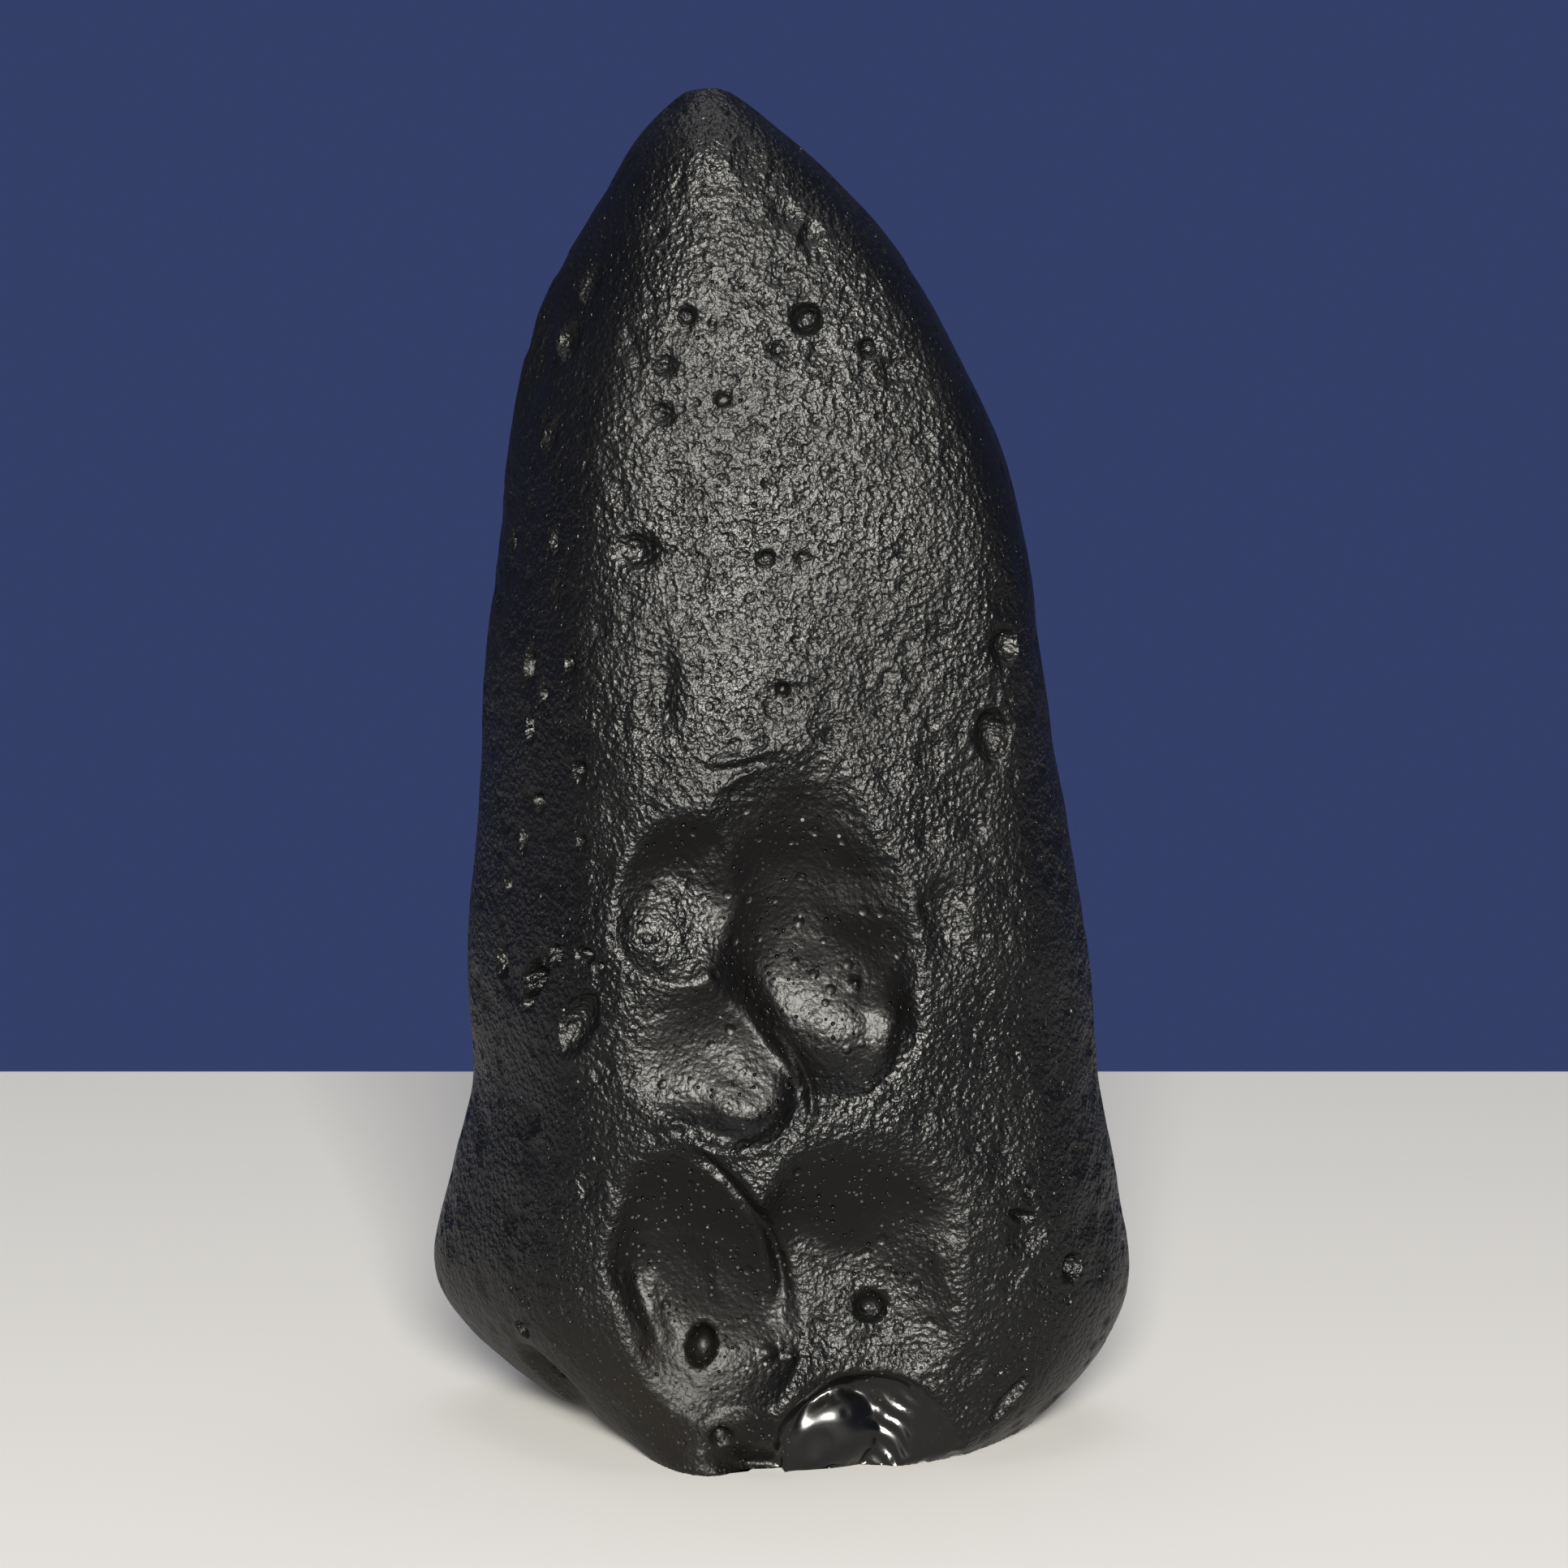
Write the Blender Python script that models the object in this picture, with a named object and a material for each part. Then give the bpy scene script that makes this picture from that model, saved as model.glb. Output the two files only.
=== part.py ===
"""Tektite: a black natural-glass splash form, one piece, standing on its broken base.

Units are metres and +Z is up. The face with the big hollows looks along -Y. The origin is
on the flat patch that the stone rests on. The sizes below are in millimetres.
"""

import math
import random

import bmesh
import bpy
import numpy as np
from mathutils import Matrix, Vector, noise
from mathutils.bvhtree import BVHTree

MM = 0.001
HEIGHT = 75.0
TIP = (-4.4, 0.6)  # the point of the stone, seen from above
UNDERSIDE = -1.5  # lowest point of the belly before the resting patch is cut
RINGS = 36
SEGMENTS = 56

# The body is a stack of ribs. A rib is a closed curve through eight points, clockwise
# from the front: front, left ridge, left, back left, back, back right, right, right ridge.
# A row holds the rib's height and then the x and y of each point.
RIBS = (
    (72.6, (-4.4, -3.5), (-6.6, -2.2), (-7.8, 0.7), (-6.9, 2.9),
     (-4.4, 3.7), (-2.0, 3.1), (-0.2, 0.9), (-1.3, -2.2)),
    (68.5, (-3.6, -5.2), (-8.1, -3.6), (-10.4, 1.3), (-8.5, 5.0),
     (-3.8, 6.9), (1.3, 5.5), (4.3, 1.4), (2.4, -3.5)),
    (63.1, (-2.8, -6.8), (-8.8, -5.4), (-13.2, 1.7), (-10.2, 7.5),
     (-3.3, 9.6), (4.0, 8.0), (8.0, 1.5), (6.2, -4.8)),
    (55.0, (-1.8, -8.6), (-10.4, -7.0), (-15.5, 1.9), (-11.6, 9.6),
     (-2.6, 12.2), (6.8, 10.2), (11.9, 1.3), (10.0, -5.8)),
    (50.0, (-1.4, -9.5), (-10.8, -7.8), (-15.9, 1.9), (-12.2, 10.6),
     (-2.2, 13.2), (7.7, 11.0), (13.0, 1.1), (11.2, -6.4)),
    (44.3, (-1.0, -10.3), (-10.9, -8.4), (-16.7, 1.9), (-12.8, 11.2),
     (-1.8, 14.0), (8.3, 11.8), (13.7, 1.0), (12.0, -6.8)),
    (35.0, (-0.6, -11.5), (-10.9, -9.2), (-17.2, 2.0), (-13.2, 11.8),
     (-1.4, 14.6), (9.6, 12.3), (15.6, 0.8), (12.7, -7.4)),
    (25.0, (-0.3, -12.5), (-11.5, -9.6), (-17.6, 2.0), (-13.6, 11.6),
     (-1.0, 14.6), (10.9, 12.3), (17.1, 0.6), (13.5, -8.2)),
    (19.5, (-0.2, -13.0), (-11.9, -9.8), (-17.5, 2.1), (-14.0, 11.5),
     (-0.8, 14.4), (11.5, 12.2), (17.6, 0.6), (13.9, -8.5)),
    (14.0, (-0.2, -13.2), (-12.4, -9.7), (-18.7, 2.2), (-14.6, 11.4),
     (-0.6, 14.1), (12.0, 12.0), (18.8, 0.6), (14.3, -8.3)),
    (7.5, (-0.6, -13.1), (-12.4, -9.0), (-19.4, 2.6), (-15.2, 11.2),
     (-0.2, 13.4), (12.4, 11.2), (19.2, 0.6), (14.8, -7.9)),
    (2.6, (-1.2, -12.7), (-9.0, -8.4), (-15.4, 3.2), (-13.0, 9.6),
     (0.2, 11.6), (11.6, 9.6), (16.9, 0.8), (12.4, -8.0)),
    (-0.6, (-2.2, -12.5), (-6.4, -9.0), (-9.4, 2.4), (-8.4, 7.4),
     (0.2, 8.8), (8.8, 7.2), (13.2, 0.4), (6.8, -9.6)),
)
# How softly the rib turns at each of its points: 1 is a round turn, 0 a corner.
TURN = (1.0, 0.72, 0.9, 0.95, 1.0, 0.95, 0.9, 0.7)

# Broad, low swellings all over the skin.
LUMP_HEIGHT = 0.35
LUMP_SPACING = 11.0

# A hollow's row: across and height of its middle as seen from its side, width, length,
# depth, lean in degrees (positive turns the top to the right), dive in degrees (positive
# makes the upper end deeper), and flare (0 has a steep wall, towards 1 is a shallow dish).
HOLLOWS = {
    "front": (
        (1.8, 30.0, 12.2, 19.6, 3.9, -11.0, -8.0, 0.2),
        (-6.0, 32.0, 4.8, 8.8, 1.9, 9.0, 12.0, 0.35),
        (-3.9, 23.4, 7.8, 11.4, 2.6, -52.0, 6.0, 0.25),
        (-4.6, 11.3, 9.8, 15.4, 2.5, -13.0, 4.0, 0.25),
        (-3.2, 8.3, 6.4, 8.8, 3.1, -12.0, 0.0, 0.25),
        (5.4, 11.4, 13.2, 17.0, 2.4, -6.0, 4.0, 0.4),
        (9.0, 29.9, 2.6, 6.4, 0.9, -38.0, 8.0, 0.45),
        (-6.6, 42.8, 2.2, 5.4, 0.5, 8.0, 0.0, 0.6),
        (4.6, 1.7, 9.8, 6.2, 2.0, -3.0, 0.0, 0.2),
        (-12.2, 2.4, 5.0, 3.2, 2.6, 25.0, 0.0, 0.2),
    ),
    "left": (
        (-7.0, 26.3, 1.1, 3.8, 1.8, 41.0, 0.0, 0.1),
        (5.5, 43.0, 9.0, 16.0, 1.3, 6.0, 0.0, 0.6),
        (0.0, 60.0, 4.0, 7.0, 0.7, 0.0, 0.0, 0.5),
    ),
    "right": (
        (5.0, 52.0, 8.0, 15.0, 1.2, -8.0, 0.0, 0.6),
        (7.0, 24.0, 9.0, 12.0, 1.7, 10.0, 8.0, 0.5),
    ),
    "back": (
        (-4.0, 47.0, 9.0, 14.0, 2.0, 10.0, 8.0, 0.35),
        (5.6, 33.0, 8.0, 11.0, 2.0, -20.0, 10.0, 0.3),
        (-7.0, 25.0, 8.4, 12.0, 2.2, 15.0, 10.0, 0.3),
        (3.0, 15.0, 11.0, 10.0, 2.3, 60.0, 6.0, 0.3),
        (1.5, 61.0, 5.0, 8.0, 0.9, -12.0, 0.0, 0.5),
    ),
    "under": (
        (-9.0, 0.0, 7.0, 9.0, 2.6, 20.0, 0.0, 0.3),
        (12.4, 4.4, 7.0, 8.0, 2.4, -15.0, 0.0, 0.3),
        (-1.5, 9.6, 11.0, 4.4, 2.0, 8.0, 0.0, 0.3),
    ),
}
WOBBLE = 0.09  # how unevenly a hollow is rounded, as a part of its size
WOBBLE_SPACING = 0.9

# A pit's row: across and height of its middle as seen from its side, width, length, depth
# and lean in degrees.
PITS = {
    "front": (
        (1.2, 62.8, 1.9, 1.9, 0.9, 0.0),
        (4.5, 61.3, 1.1, 1.1, 0.5, 0.0),
        (0.0, 68.4, 2.1, 2.1, 0.4, 0.0),
        (5.7, 60.1, 1.9, 1.9, 0.4, 0.0),
        (1.4, 67.0, 1.5, 1.9, 0.5, 30.0),
        (-6.4, 60.4, 1.3, 1.3, 0.5, 0.0),
        (-6.6, 57.8, 1.5, 1.4, 0.6, 0.0),
        (-8.3, 50.5, 1.6, 1.7, 0.8, 0.0),
        (-7.1, 50.6, 1.3, 1.5, 0.6, 0.0),
        (-1.0, 50.2, 1.5, 1.3, 0.8, 0.0),
        (0.0, 43.3, 0.9, 0.9, 0.8, 0.0),
        (-4.5, 7.0, 1.9, 2.3, 4.6, 0.0),
        (4.7, 9.7, 1.6, 1.6, 3.2, 0.0),
        (-11.2, 25.0, 2.1, 4.0, 1.0, 25.0),
        (13.2, 13.4, 2.4, 2.2, 1.1, -10.0),
        (12.4, 3.4, 1.5, 3.4, 0.8, 38.0),
        (-3.4, 2.2, 1.3, 1.2, 0.9, 0.0),
    ),
    "left": (
        (-2.7, 64.4, 1.9, 2.6, 0.6, 0.0),
        (-2.9, 61.3, 2.2, 2.8, 0.7, 0.0),
        (-3.8, 26.9, 1.5, 1.6, 0.6, 0.0),
        (-7.2, 18.9, 1.9, 1.9, 0.5, 0.0),
        (-6.7, 7.0, 1.4, 1.4, 0.9, 0.0),
    ),
    "right": (
        (-6.8, 45.1, 2.0, 2.3, 0.9, 0.0),
        (-7.6, 40.3, 2.2, 3.0, 1.0, 0.0),
        (-6.9, 10.6, 1.7, 1.6, 1.0, 0.0),
    ),
}
# Pits strewn over the sides and the back, where no pit is placed by hand.
STREWN_PITS = 18
STREWN_WIDTH = (1.2, 2.4)
STREWN_SEED = 11


# --------------------------------------------------------------------------- body

def slopes(points, knots):
    """Slope of a smooth curve at each inner point, from its two neighbours."""
    steps = np.diff(knots).reshape(-1, 1, 1)
    runs = np.diff(points, axis=0) / steps
    return (runs[:-1] * steps[1:] + runs[1:] * steps[:-1]) / (steps[:-1] + steps[1:])


def hermite(start, end, slope_start, slope_end, length, part):
    """Point of the cubic that leaves start and reaches end with the given slopes."""
    square = part * part
    cube = square * part
    return (
        start * (2 * cube - 3 * square + 1)
        + slope_start * length * (cube - 2 * square + part)
        + end * (3 * square - 2 * cube)
        + slope_end * length * (cube - square)
    )


def rib_stack():
    """All the ribs as one array, closed to a point at the tip and under the belly."""
    rows = [[(x, y, row[0]) for x, y in row[1:]] for row in RIBS]
    tip = [(TIP[0], TIP[1], HEIGHT)] * len(TURN)
    belly = [(0.4, 0.0, UNDERSIDE)] * len(TURN)
    return np.array([tip] + rows + [belly])


def mirrored(rib, centre):
    """The rib as it would continue past the pole at centre."""
    past = 2 * centre - rib
    past[:, 2] = rib[:, 2]
    return past


def body_point(stack, knots, tangents, along, around):
    """Point of the body: along runs 0 to 1 from tip to belly, around 0 to 1 clockwise."""
    reach = along * knots[-1]
    k = min(int(np.searchsorted(knots, reach, side="right")) - 1, len(knots) - 2)
    length = knots[k + 1] - knots[k]
    part = (reach - knots[k]) / length
    rib = hermite(stack[k], stack[k + 1], tangents[k], tangents[k + 1], length, part)
    count = len(rib)
    place = (around % 1.0) * count
    i = int(place) % count
    j = (i + 1) % count
    turn_i = 0.5 * (rib[j] - rib[i - 1]) * TURN[i]
    turn_j = 0.5 * (rib[(j + 1) % count] - rib[i]) * TURN[j]
    return hermite(rib[i], rib[j], turn_i, turn_j, 1.0, place - int(place))


def shape_body(sphere):
    """Move the vertices of a unit sphere onto the ribs, then raise the broad lumps."""
    stack = rib_stack()
    steps = np.linalg.norm(np.diff(stack, axis=0), axis=2).mean(axis=1)
    knots = np.concatenate(([0.0], np.cumsum(steps)))
    padded = np.concatenate(([mirrored(stack[1], stack[0])], stack, [mirrored(stack[-2], stack[-1])]))
    padded_knots = np.concatenate(([-steps[0]], knots, [knots[-1] + steps[-1]]))
    tangents = slopes(padded, padded_knots)
    for vert in sphere.verts:
        along = math.acos(max(-1.0, min(1.0, vert.co.z))) / math.pi
        around = (-0.5 * math.pi - math.atan2(vert.co.y, vert.co.x)) / math.tau
        vert.co = Vector(body_point(stack, knots, tangents, along, around))
    sphere.normal_update()
    normals = [vert.normal.copy() for vert in sphere.verts]
    for vert, normal in zip(sphere.verts, normals):
        vert.co += normal * LUMP_HEIGHT * noise.noise(vert.co / LUMP_SPACING)


def make_body():
    """The whole lump before anything is hollowed out of it, in millimetres."""
    body = bmesh.new()
    bmesh.ops.create_uvsphere(body, u_segments=SEGMENTS, v_segments=RINGS, radius=1.0)
    shape_body(body)
    return body


# --------------------------------------------------------------------------- hollows

def side_ray(side, across, height):
    """Where a line of sight starts and which way it runs. From under, height is y."""
    far = 60.0
    return {
        "front": (Vector((across, -far, height)), Vector((0, 1, 0))),
        "back": (Vector((across, far, height)), Vector((0, -1, 0))),
        "left": (Vector((-far, across, height)), Vector((1, 0, 0))),
        "right": (Vector((far, across, height)), Vector((-1, 0, 0))),
        "under": (Vector((across, height, -far)), Vector((0, 0, 1))),
    }[side]


def skin_place(tree, side, across, height):
    """Point on the skin and the way it faces there."""
    start, way = side_ray(side, across, height)
    point, normal, _, _ = tree.ray_cast(start, way)
    return point, normal


def hollow_matrix(point, normal, width, length, depth, lean, dive, flare):
    """Place of a unit sphere that scoops a hollow of this size out of the skin."""
    pole = Vector((0, 0, 1)) if abs(normal.z) < 0.9 else Vector((0, 1, 0))
    rightward = pole.cross(normal).normalized()
    upward = normal.cross(rightward)
    frame = Matrix((rightward, -normal, upward)).transposed()
    turn = Matrix.Rotation(math.radians(lean), 3, "Y") @ Matrix.Rotation(math.radians(-dive), 3, "X")
    reach = depth / (1.0 - flare)
    spread = 1.0 / math.sqrt(1.0 - flare * flare)
    size = Matrix.Diagonal((0.5 * width * spread, reach, 0.5 * length * spread))
    centre = point + normal * reach * flare
    return Matrix.Translation(centre) @ (frame @ turn @ size).to_4x4()


def scoop(cutter, matrix, fineness):
    """Add one uneven egg-shaped cutter body."""
    made = bmesh.ops.create_icosphere(cutter, subdivisions=fineness, radius=1.0)
    place = matrix.translation
    for vert in made["verts"]:
        vert.co *= 1.0 + WOBBLE * noise.noise(vert.co / WOBBLE_SPACING + place)
        vert.co = matrix @ vert.co


def make_hollows(tree):
    """Every big hollow as one set of cutter bodies."""
    cutter = bmesh.new()
    for side, rows in HOLLOWS.items():
        for across, height, width, length, depth, lean, dive, flare in rows:
            point, normal = skin_place(tree, side, across, height)
            matrix = hollow_matrix(point, normal, width, length, depth, lean, dive, flare)
            scoop(cutter, matrix, 3)
    return cutter


def strewn_rows():
    """Pits at random places on the sides and the back."""
    draw = random.Random(STREWN_SEED)
    for _ in range(STREWN_PITS):
        side = draw.choice(("left", "right", "back", "back"))
        across = draw.uniform(-9.0, 9.0) + (2.0 if side != "back" else 0.0)
        height = draw.uniform(6.0, 66.0)
        width = draw.uniform(*STREWN_WIDTH)
        length = width * draw.uniform(1.0, 1.4)
        yield side, (across, height, width, length, 0.4 * width, draw.uniform(-60.0, 60.0))


def make_pits(tree):
    """Every small pit as one set of cutter bodies."""
    cutter = bmesh.new()
    rows = [(side, row) for side, listed in PITS.items() for row in listed]
    for side, (across, height, width, length, depth, lean) in rows + list(strewn_rows()):
        point, normal = skin_place(tree, side, across, height)
        if point is not None:
            scoop(cutter, hollow_matrix(point, normal, width, length, depth, lean, 0.0, 0.1), 1)
    return cutter


def make_ground():
    """The block below the resting plane."""
    cutter = bmesh.new()
    size = Matrix.Diagonal((80.0, 80.0, 20.0, 1.0))
    bmesh.ops.create_cube(cutter, size=1.0, matrix=Matrix.Translation((0, 0, -10.0)) @ size)
    return cutter


# --------------------------------------------------------------------------- scene

def glass_skin():
    """Black glass with an etched, half-matt skin."""
    material = bpy.data.materials.new("tektite_glass")
    material.use_nodes = True
    shader = material.node_tree.nodes["Principled BSDF"]
    shader.inputs["Base Color"].default_value = (0.012, 0.012, 0.012, 1.0)
    shader.inputs["Roughness"].default_value = 0.42
    shader.inputs["Metallic"].default_value = 0.0
    return material


def new_collection(name):
    """A collection linked to the scene."""
    collection = bpy.data.collections.new(name)
    bpy.context.scene.collection.children.link(collection)
    return collection


def add_object(name, shape, collection):
    """Scale a shape to metres and put it in the collection."""
    bmesh.ops.scale(shape, vec=(MM, MM, MM), verts=shape.verts)
    mesh = bpy.data.meshes.new(name)
    shape.to_mesh(mesh)
    shape.free()
    mesh.shade_smooth()
    obj = bpy.data.objects.new(name, mesh)
    collection.objects.link(obj)
    return obj


def cut(target, cutter):
    """Take the cutter out of the target, and keep the cutter as a guide only."""
    cutter.hide_render = True
    cutter.display_type = "WIRE"
    boolean = target.modifiers.new("cut_" + cutter.name, "BOOLEAN")
    boolean.operation = "DIFFERENCE"
    boolean.solver = "EXACT"
    boolean.use_self = True
    boolean.object = cutter


def main():
    """Build the stone."""
    for obj in list(bpy.data.objects):
        bpy.data.objects.remove(obj, do_unlink=True)
    body = make_body()
    tree = BVHTree.FromBMesh(body)
    stone = new_collection("tektite")
    cutters = new_collection("cutters")
    tektite = add_object("tektite", body, stone)
    tektite.data.materials.append(glass_skin())
    cut(tektite, add_object("hollows", make_hollows(tree), cutters))
    cut(tektite, add_object("pits", make_pits(tree), cutters))
    cut(tektite, add_object("ground", make_ground(), cutters))


main()
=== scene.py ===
"""A black natural-glass tektite, dressed as it looks standing on a pale table.

The stone is shaped in millimetres, +Z up, with its hollowed face looking along -Y, and is
scaled to metres when it is done.
"""

import math

import bmesh
import bpy
import numpy as np
from mathutils import Matrix, Vector, noise
from mathutils.bvhtree import BVHTree

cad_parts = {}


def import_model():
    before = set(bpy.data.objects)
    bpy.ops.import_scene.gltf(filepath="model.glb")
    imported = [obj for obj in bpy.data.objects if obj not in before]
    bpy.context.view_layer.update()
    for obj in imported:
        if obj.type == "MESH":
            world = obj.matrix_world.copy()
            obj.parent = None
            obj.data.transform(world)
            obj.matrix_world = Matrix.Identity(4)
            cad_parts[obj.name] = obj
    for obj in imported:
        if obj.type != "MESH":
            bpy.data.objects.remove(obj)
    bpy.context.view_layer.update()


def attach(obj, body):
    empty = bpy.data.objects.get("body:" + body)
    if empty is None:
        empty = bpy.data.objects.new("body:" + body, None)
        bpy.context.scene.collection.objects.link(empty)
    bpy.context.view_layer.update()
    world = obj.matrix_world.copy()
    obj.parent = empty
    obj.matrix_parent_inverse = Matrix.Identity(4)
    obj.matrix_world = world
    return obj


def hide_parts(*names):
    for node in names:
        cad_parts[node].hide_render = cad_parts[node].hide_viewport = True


MM = 0.001

# ------------------------------------------------------------------ the stone's sizes, mm

HEIGHT = 75.0
TIP = (-4.4, 0.6)
UNDERSIDE = (0.4, 0.0, -1.5)  # where the belly closes, before it is cut flat
RINGS = 120
SEGMENTS = 130

# Ribs of the body: height, then the x and y of eight points, clockwise from the front.
RIBS = (
    (72.6, (-4.4, -3.5), (-6.6, -2.2), (-7.8, 0.7), (-6.9, 2.9),
     (-4.4, 3.7), (-2.0, 3.1), (-0.2, 0.9), (-1.3, -2.2)),
    (68.5, (-3.6, -5.2), (-8.1, -3.6), (-10.4, 1.3), (-8.5, 5.0),
     (-3.8, 6.9), (1.3, 5.5), (4.3, 1.4), (2.4, -3.5)),
    (63.1, (-2.8, -6.8), (-8.8, -5.4), (-13.2, 1.7), (-10.2, 7.5),
     (-3.3, 9.6), (4.0, 8.0), (8.0, 1.5), (6.2, -4.8)),
    (55.0, (-1.8, -8.6), (-10.4, -7.0), (-15.5, 1.9), (-11.6, 9.6),
     (-2.6, 12.2), (6.8, 10.2), (11.9, 1.3), (10.0, -5.8)),
    (50.0, (-1.4, -9.5), (-10.8, -7.8), (-15.9, 1.9), (-12.2, 10.6),
     (-2.2, 13.2), (7.7, 11.0), (13.0, 1.1), (11.2, -6.4)),
    (44.3, (-1.0, -10.3), (-10.9, -8.4), (-16.7, 1.9), (-12.8, 11.2),
     (-1.8, 14.0), (8.3, 11.8), (13.7, 1.0), (12.0, -6.8)),
    (35.0, (-0.6, -11.5), (-10.9, -9.2), (-17.2, 2.0), (-13.2, 11.8),
     (-1.4, 14.6), (9.6, 12.3), (15.6, 0.8), (12.7, -7.4)),
    (25.0, (-0.3, -12.5), (-11.5, -9.6), (-17.6, 2.0), (-13.6, 11.6),
     (-1.0, 14.6), (10.9, 12.3), (17.1, 0.6), (13.5, -8.2)),
    (19.5, (-0.2, -13.0), (-11.9, -9.8), (-17.5, 2.1), (-14.0, 11.5),
     (-0.8, 14.4), (11.5, 12.2), (17.6, 0.6), (13.9, -8.5)),
    (14.0, (-0.2, -13.2), (-12.4, -9.7), (-18.7, 2.2), (-14.6, 11.4),
     (-0.6, 14.1), (12.0, 12.0), (18.8, 0.6), (14.3, -8.3)),
    (7.5, (-0.6, -13.1), (-12.4, -9.0), (-19.4, 2.6), (-15.2, 11.2),
     (-0.2, 13.4), (12.4, 11.2), (19.2, 0.6), (14.8, -7.9)),
    (2.6, (-1.2, -12.7), (-9.0, -8.4), (-15.4, 3.2), (-13.0, 9.6),
     (0.2, 11.6), (11.6, 9.6), (16.9, 0.8), (12.4, -8.0)),
    (-0.6, (-2.2, -12.5), (-6.4, -9.0), (-9.4, 2.4), (-8.4, 7.4),
     (0.2, 8.8), (8.8, 7.2), (13.2, 0.4), (6.8, -9.6)),
)
TURN = (1.0, 0.72, 0.9, 0.95, 1.0, 0.95, 0.9, 0.7)

LUMP_HEIGHT = 0.35
LUMP_SPACING = 11.0

BOWL = (2.0, 2.0, 2.0, 2.0)
SOFT_RIM = (0.5, 0.8, 1.0, 0.8)

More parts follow.
